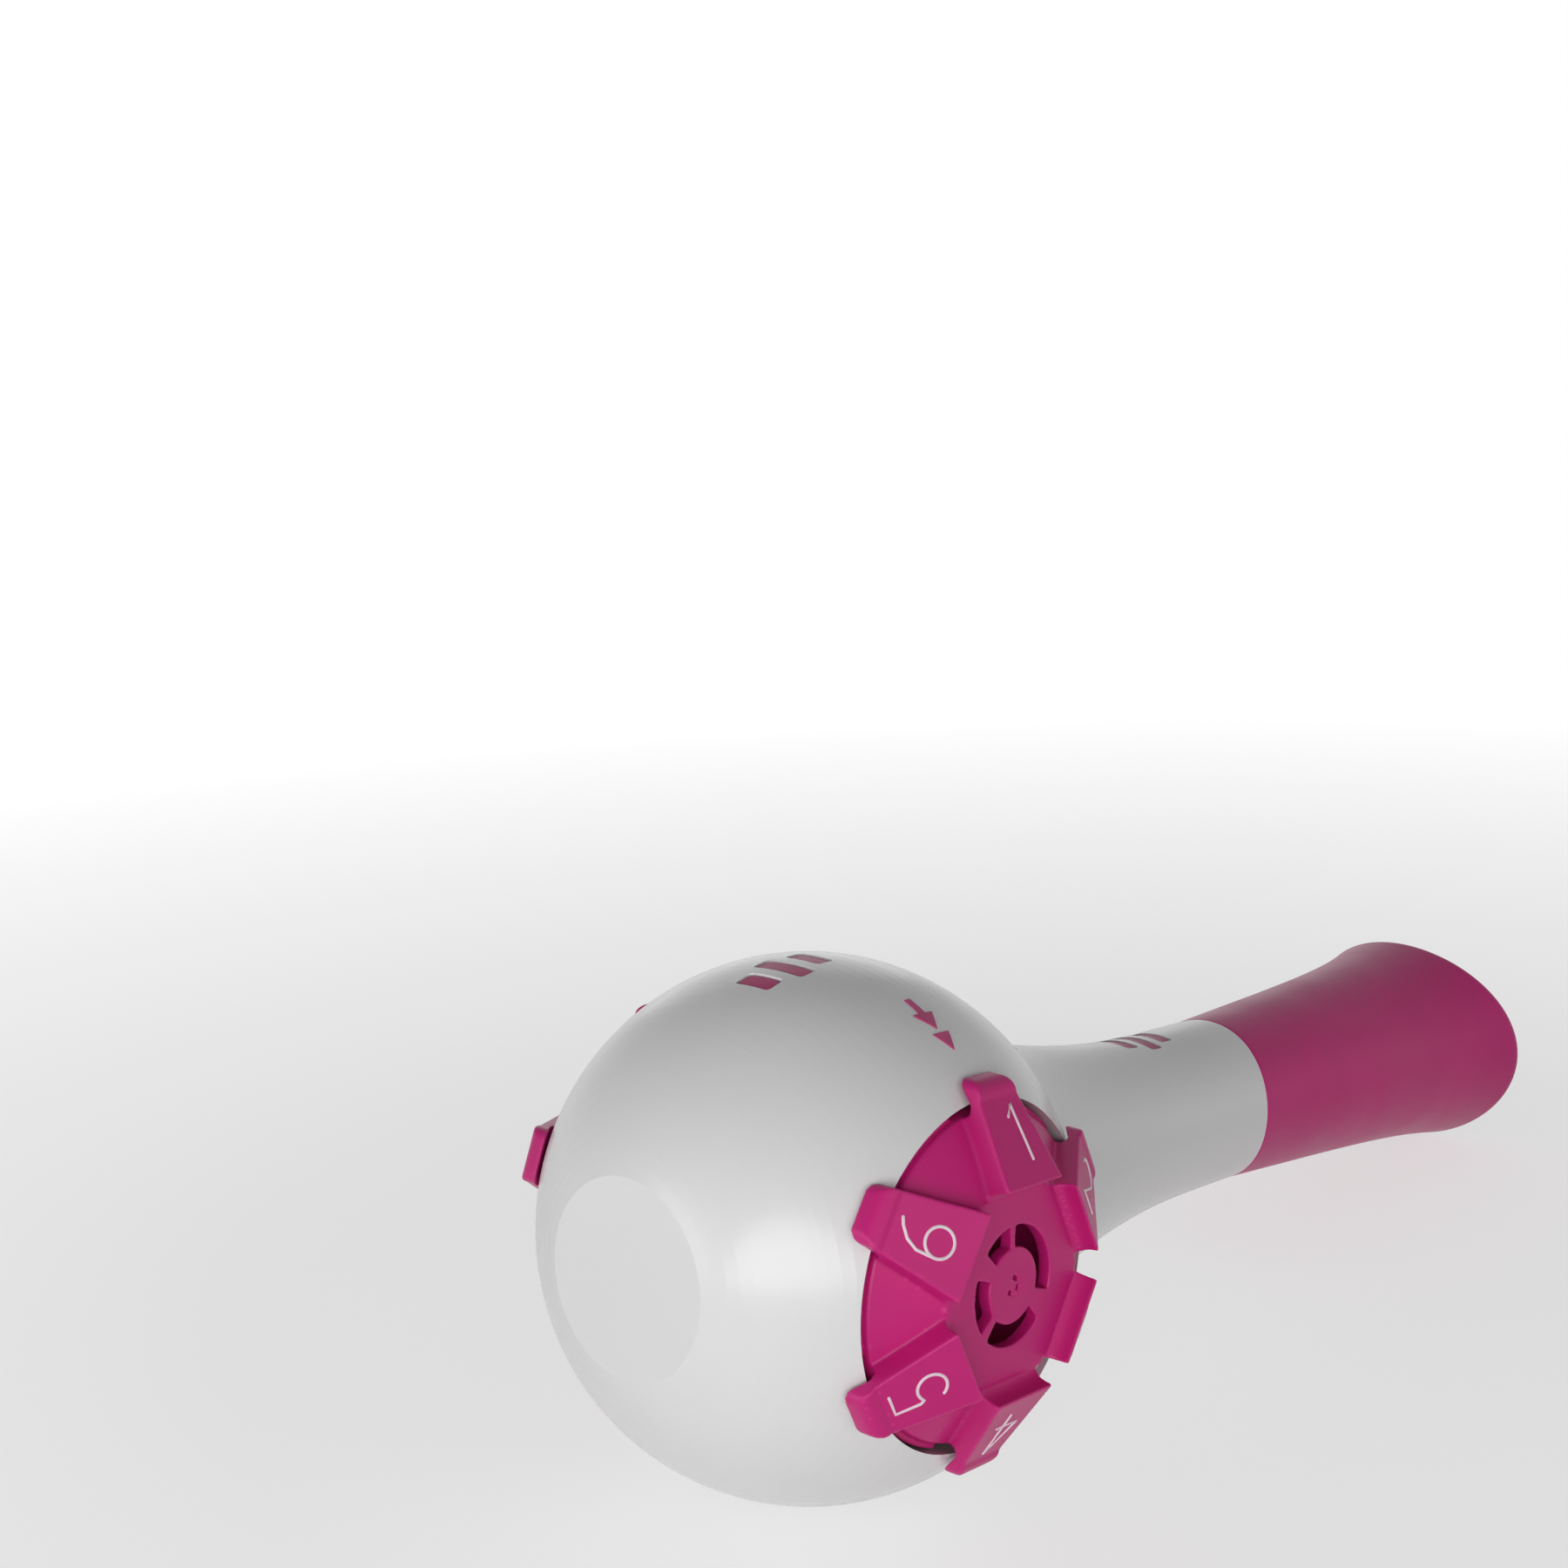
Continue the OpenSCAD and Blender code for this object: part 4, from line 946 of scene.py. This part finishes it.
@dataclass
class Dial:
    """One dial: a disc with a hub or cup in its middle and a numbered tab for each setting."""

    side: Side
    settings: int
    numeral_r: float
    tab_crest_r: float = 12.0
    tab_crest_h: float = 32.98
    tab_crease_r: float = 20.8
    tab_crease_h: float = 27.28
    voxel: float = 0.15
    passes: int = 14
    pen: NumeralPen = field(default_factory=NumeralPen)

    @property
    def word(self) -> str:
        """Returns the word that this dial's nodes start with."""
        return self.side.name.lower()

    @property
    def body(self) -> Body:
        """Returns the body that this dial is."""
        return Body.INHALE_DIAL if self.side is Side.INHALE else Body.EXHALE_DIAL

    def tab_height(self, r: float) -> float:
        """Returns the height of a tab's top at a radius."""
        return self.tab_crest_h - math.tan(self.tab_fall) * (r - self.tab_crest_r)

    @property
    def tab_fall(self) -> float:
        """Returns the angle at which a tab's top falls towards its end."""
        return math.atan2(self.tab_crest_h - self.tab_crease_h, self.tab_crease_r - self.tab_crest_r)

    def build_numerals(self, axis: AxisFrame, wardrobe: Wardrobe) -> bpy.types.Object:
        """Builds all numerals of the dial as one piece.

        Args:
            axis: the drawing frame.
            wardrobe: the finishes.

        Returns:
            The numerals.
        """
        top = Matrix.Translation((self.numeral_r, 0.0, self.tab_height(self.numeral_r)))
        lean = Matrix.Rotation(self.tab_fall, 4, "Y") @ Matrix.Rotation(math.radians(-90.0), 4, "Z")
        points: list[Vector] = []
        faces: list[tuple[int, ...]] = []
        for i in range(self.settings):
            turn = Matrix.Rotation(math.radians(90.0 - 360.0 * i / self.settings), 4, "Z")
            place = axis.dial(self.side) @ turn @ top @ lean
            for line in self.pen.strokes(i + 1):
                new_points, new_faces = self.pen.sweep(line)
                shift = len(points)
                points += [place @ Vector(p) for p in new_points]
                faces += [tuple(v + shift for v in f) for f in new_faces]
        mesh = bpy.data.meshes.new(f"{self.word}_numeral_strokes")
        mesh.from_pydata(points, [], faces)
        MeshBench.turn_outwards(mesh)
        obj = MeshBench.finish_object(f"{self.word}_numeral_strokes", mesh)
        wardrobe.dress(obj, Slot.INK)
        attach(obj, self.body.value)
        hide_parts(f"{self.word}_numerals")
        return obj

    def build(self, axis: AxisFrame, wardrobe: Wardrobe) -> None:
        """Builds and dresses the dial and its numerals.

        Args:
            axis: the drawing frame.
            wardrobe: the finishes.
        """
        node = f"{self.word}_dial"
        obj = MeshBench.softened(node, f"{node}_moulded", self.voxel, self.passes)
        wardrobe.dress(obj, Slot.MAGENTA)
        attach(obj, self.body.value)
        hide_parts(node)
        self.build_numerals(axis, wardrobe)
        LOG.info("built the %s dial with %d faces", self.word, len(obj.data.polygons))


@dataclass
class Housing:
    """The bulb and neck with their grip marks, and the pointers beside the dials."""

    shells: tuple[str, ...] = ("upper_shell", "lower_shell")
    inlays: tuple[str, ...] = ("bulb_grip_inlay", "shoulder_grip_inlay", "neck_grip_inlay")
    pointers: tuple[str, ...] = ("inhale_pointer", "exhale_pointer")
    inlay_voxel: float = 0.1
    inlay_passes: int = 4

    def build(self, wardrobe: Wardrobe) -> None:
        """Dresses the shells and builds the bars of the grip marks.

        Args:
            wardrobe: the finishes.
        """
        wardrobe.dress_nodes(self.shells, Slot.SHELL)
        wardrobe.dress_nodes(self.pointers, Slot.INLAY)
        for node in self.inlays:
            obj = MeshBench.softened(node, f"{node}_bars", self.inlay_voxel, self.inlay_passes)
            wardrobe.dress(obj, Slot.INLAY)
            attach(obj, Body.HOUSING.value)
            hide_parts(node)
            LOG.info("built %s with %d faces", node, len(obj.data.polygons))


@dataclass
class ValveWorks:
    """What lies behind the dials: plates, seals, cages, flaps, air-hole discs, springs and screws."""

    plastic: tuple[str, ...] = (
        "neck_tube", "inhale_port_plate", "exhale_port_plate", "inhale_flap_cage", "exhale_flap_cage",
        "exhale_orifice_disc")
    coloured: tuple[str, ...] = ("inhale_orifice_disc",)
    soft: tuple[str, ...] = (
        "mouthpiece_seal", "inhale_gasket", "exhale_gasket", "inhale_port_seal", "exhale_port_seal",
        "inhale_flap", "exhale_flap")
    springs: tuple[str, ...] = ("inhale_click_spring", "exhale_click_spring")
    screws: tuple[str, ...] = ("inhale_spindle_screw", "inhale_spindle_washer", "exhale_spindle_screw")

    def build(self, wardrobe: Wardrobe) -> None:
        """Dresses the works.

        Args:
            wardrobe: the finishes.
        """
        wardrobe.dress_nodes(self.plastic, Slot.INNER)
        wardrobe.dress_nodes(self.coloured, Slot.MAGENTA)
        wardrobe.dress_nodes(self.soft, Slot.SILICONE)
        wardrobe.dress_nodes(self.springs, Slot.SPRING)
        wardrobe.dress_nodes(self.screws, Slot.SCREW)


@dataclass(frozen=True)
class SoftBox:
    """A large soft lamp that faces the trainer."""

    name: str
    direction: Point
    distance: float
    size: float
    power: float

    def build(self, target: Vector) -> None:
        """Places the lamp.

        Args:
            target: the point that it faces.
        """
        data = bpy.data.lights.new(self.name, "AREA")
        data.shape = "DISK"
        data.size = self.size
        data.energy = self.power
        lamp = bpy.data.objects.new(self.name, data)
        way = Vector(self.direction).normalized()
        lamp.location = target + way * self.distance
        lamp.rotation_euler = (-way).to_track_quat("-Z", "Y").to_euler()
        bpy.context.scene.collection.objects.link(lamp)


@dataclass
class Studio:
    """A plain pale floor that melts into a white surround, soft lamps and the photograph's camera."""

    floor_r: float = 2.5
    floor_sides: int = 96
    floor_roughness: float = 0.7
    fade_start: float = 0.12
    fade_end: float = 0.5
    near_glow: float = 0.62
    floor_colour: Colour = (0.93, 0.93, 0.93)
    air_strength: float = 0.16
    sky_gloss: float = 0.25
    sky_rise: Span = (0.05, 0.85)
    lens: float = 52.04
    sensor: float = 36.0
    near_clip: float = 0.01
    camera_place: Point = (-0.25291, -0.17243, 0.13608)
    camera_way: Point = (0.72468, 0.6621, -0.19092)
    camera_roll: float = math.radians(-2.05)
    lamps: tuple[SoftBox, ...] = (
        SoftBox("key", (-1.0, -0.62, 0.0), 0.5, 0.4, 1.55),
        SoftBox("left", (-0.9, 0.3, 0.0), 0.5, 0.4, 0.75),
        SoftBox("side", (-0.1, -1.0, 0.2), 0.9, 0.6, 0.95),
        SoftBox("top", (0.1, 0.2, 1.0), 1.0, 0.9, 0.2),
        SoftBox("back", (0.8, 0.9, 0.35), 1.0, 0.7, 0.5),
    )

    def build_floor(self) -> None:
        """Builds the floor and its material, which turns to the surround's white further out."""
        mesh = bpy.data.meshes.new("studio_floor")
        shape = bmesh.new()
        bmesh.ops.create_circle(shape, cap_ends=True, radius=self.floor_r, segments=self.floor_sides)
        shape.to_mesh(mesh)
        shape.free()
        floor = bpy.data.objects.new("studio_floor", mesh)
        bpy.context.scene.collection.objects.link(floor)
        material = bpy.data.materials.new("studio_floor")
        material.use_nodes = True
        shader = Shader(material.node_tree)
        surface = material.node_tree.nodes["Principled BSDF"]
        surface.inputs["Base Color"].default_value = (*self.floor_colour, 1.0)
        surface.inputs["Roughness"].default_value = self.floor_roughness
        place = shader.add("ShaderNodeTexCoord").outputs["Object"]
        length = shader.add("ShaderNodeVectorMath", operation="LENGTH")
        shader.link(place, length.inputs[0])
        far = shader.stretch(
            length.outputs["Value"], (self.fade_start, self.fade_end), (self.near_glow, 1.0))
        rays = shader.add("ShaderNodeLightPath")
        seen = shader.maths("MAXIMUM", rays.outputs["Is Camera Ray"], rays.outputs["Is Glossy Ray"])
        share = shader.maths("MULTIPLY", far, seen)
        glow = shader.add("ShaderNodeEmission", Strength=1.0)
        mix = shader.add("ShaderNodeMixShader")
        shader.link(share, mix.inputs[0])
        shader.link(surface.outputs["BSDF"], mix.inputs[1])
        shader.link(glow.outputs["Emission"], mix.inputs[2])
        shader.link(mix.outputs["Shader"], material.node_tree.nodes["Material Output"].inputs["Surface"])
        mesh.materials.append(material)

    def build_air(self) -> None:
        """Builds the surround: white where it is seen, darker overhead in mirrors, weak as a light."""
        world = bpy.data.worlds.new("surround")
        world.use_nodes = True
        bpy.context.scene.world = world
        shader = Shader(world.node_tree)
        air = world.node_tree.nodes["Background"]
        rays = shader.add("ShaderNodeLightPath")
        way = shader.add("ShaderNodeTexCoord").outputs["Generated"]
        height = shader.add("ShaderNodeSeparateXYZ")
        shader.link(way, height.inputs[0])
        sky = shader.stretch(height.outputs["Z"], self.sky_rise, (1.0, self.sky_gloss))
        mirrored = shader.maths("MULTIPLY", sky, rays.outputs["Is Glossy Ray"])
        seen = shader.maths("MAXIMUM", mirrored, rays.outputs["Is Camera Ray"])
        seen = shader.maths("MAXIMUM", seen, rays.outputs["Is Transmission Ray"])
        strength = shader.maths("MAXIMUM", seen, self.air_strength)
        air.inputs["Color"].default_value = (1.0, 1.0, 1.0, 1.0)
        shader.link(strength, air.inputs["Strength"])

    def build_camera(self) -> None:
        """Places the camera where the photograph was taken from."""
        way = Vector(self.camera_way).normalized()
        level = way.cross(Vector((0.0, 0.0, 1.0))).normalized()
        steep = level.cross(way)
        right = level * math.cos(self.camera_roll) + steep * math.sin(self.camera_roll)
        turn = Matrix((right, right.cross(way), -way)).transposed().to_4x4()
        data = bpy.data.cameras.new("photo_camera")
        data.lens = self.lens
        data.sensor_width = self.sensor
        data.clip_start = self.near_clip
        camera = bpy.data.objects.new("photo_camera", data)
        camera.matrix_world = Matrix.Translation(self.camera_place) @ turn
        bpy.context.scene.collection.objects.link(camera)
        bpy.context.scene.camera = camera

    def build(self) -> None:
        """Builds the whole studio."""
        low, high = CAD_BOX
        target = (Vector(low) + Vector(high)) / 2.0
        self.build_floor()
        self.build_air()
        for lamp in self.lamps:
            lamp.build(target)
        self.build_camera()
        bpy.context.scene.view_settings.view_transform = "Standard"
        LOG.info("built the studio")


def main() -> None:
    """Builds the studio and every sub-assembly in order."""
    logging.basicConfig(level=logging.INFO, format="%(name)s: %(message)s")
    axis = AxisFrame.from_joints(frame["joints"])
    Studio().build()
    wardrobe = Wardrobe()
    Housing().build(wardrobe)
    Mouthpiece().build(axis, wardrobe)
    Dial(Side.INHALE, settings=6, numeral_r=17.23).build(axis, wardrobe)
    Dial(Side.EXHALE, settings=5, numeral_r=17.6).build(axis, wardrobe)
    ValveWorks().build(wardrobe)


if __name__ == "__main__":
    main()
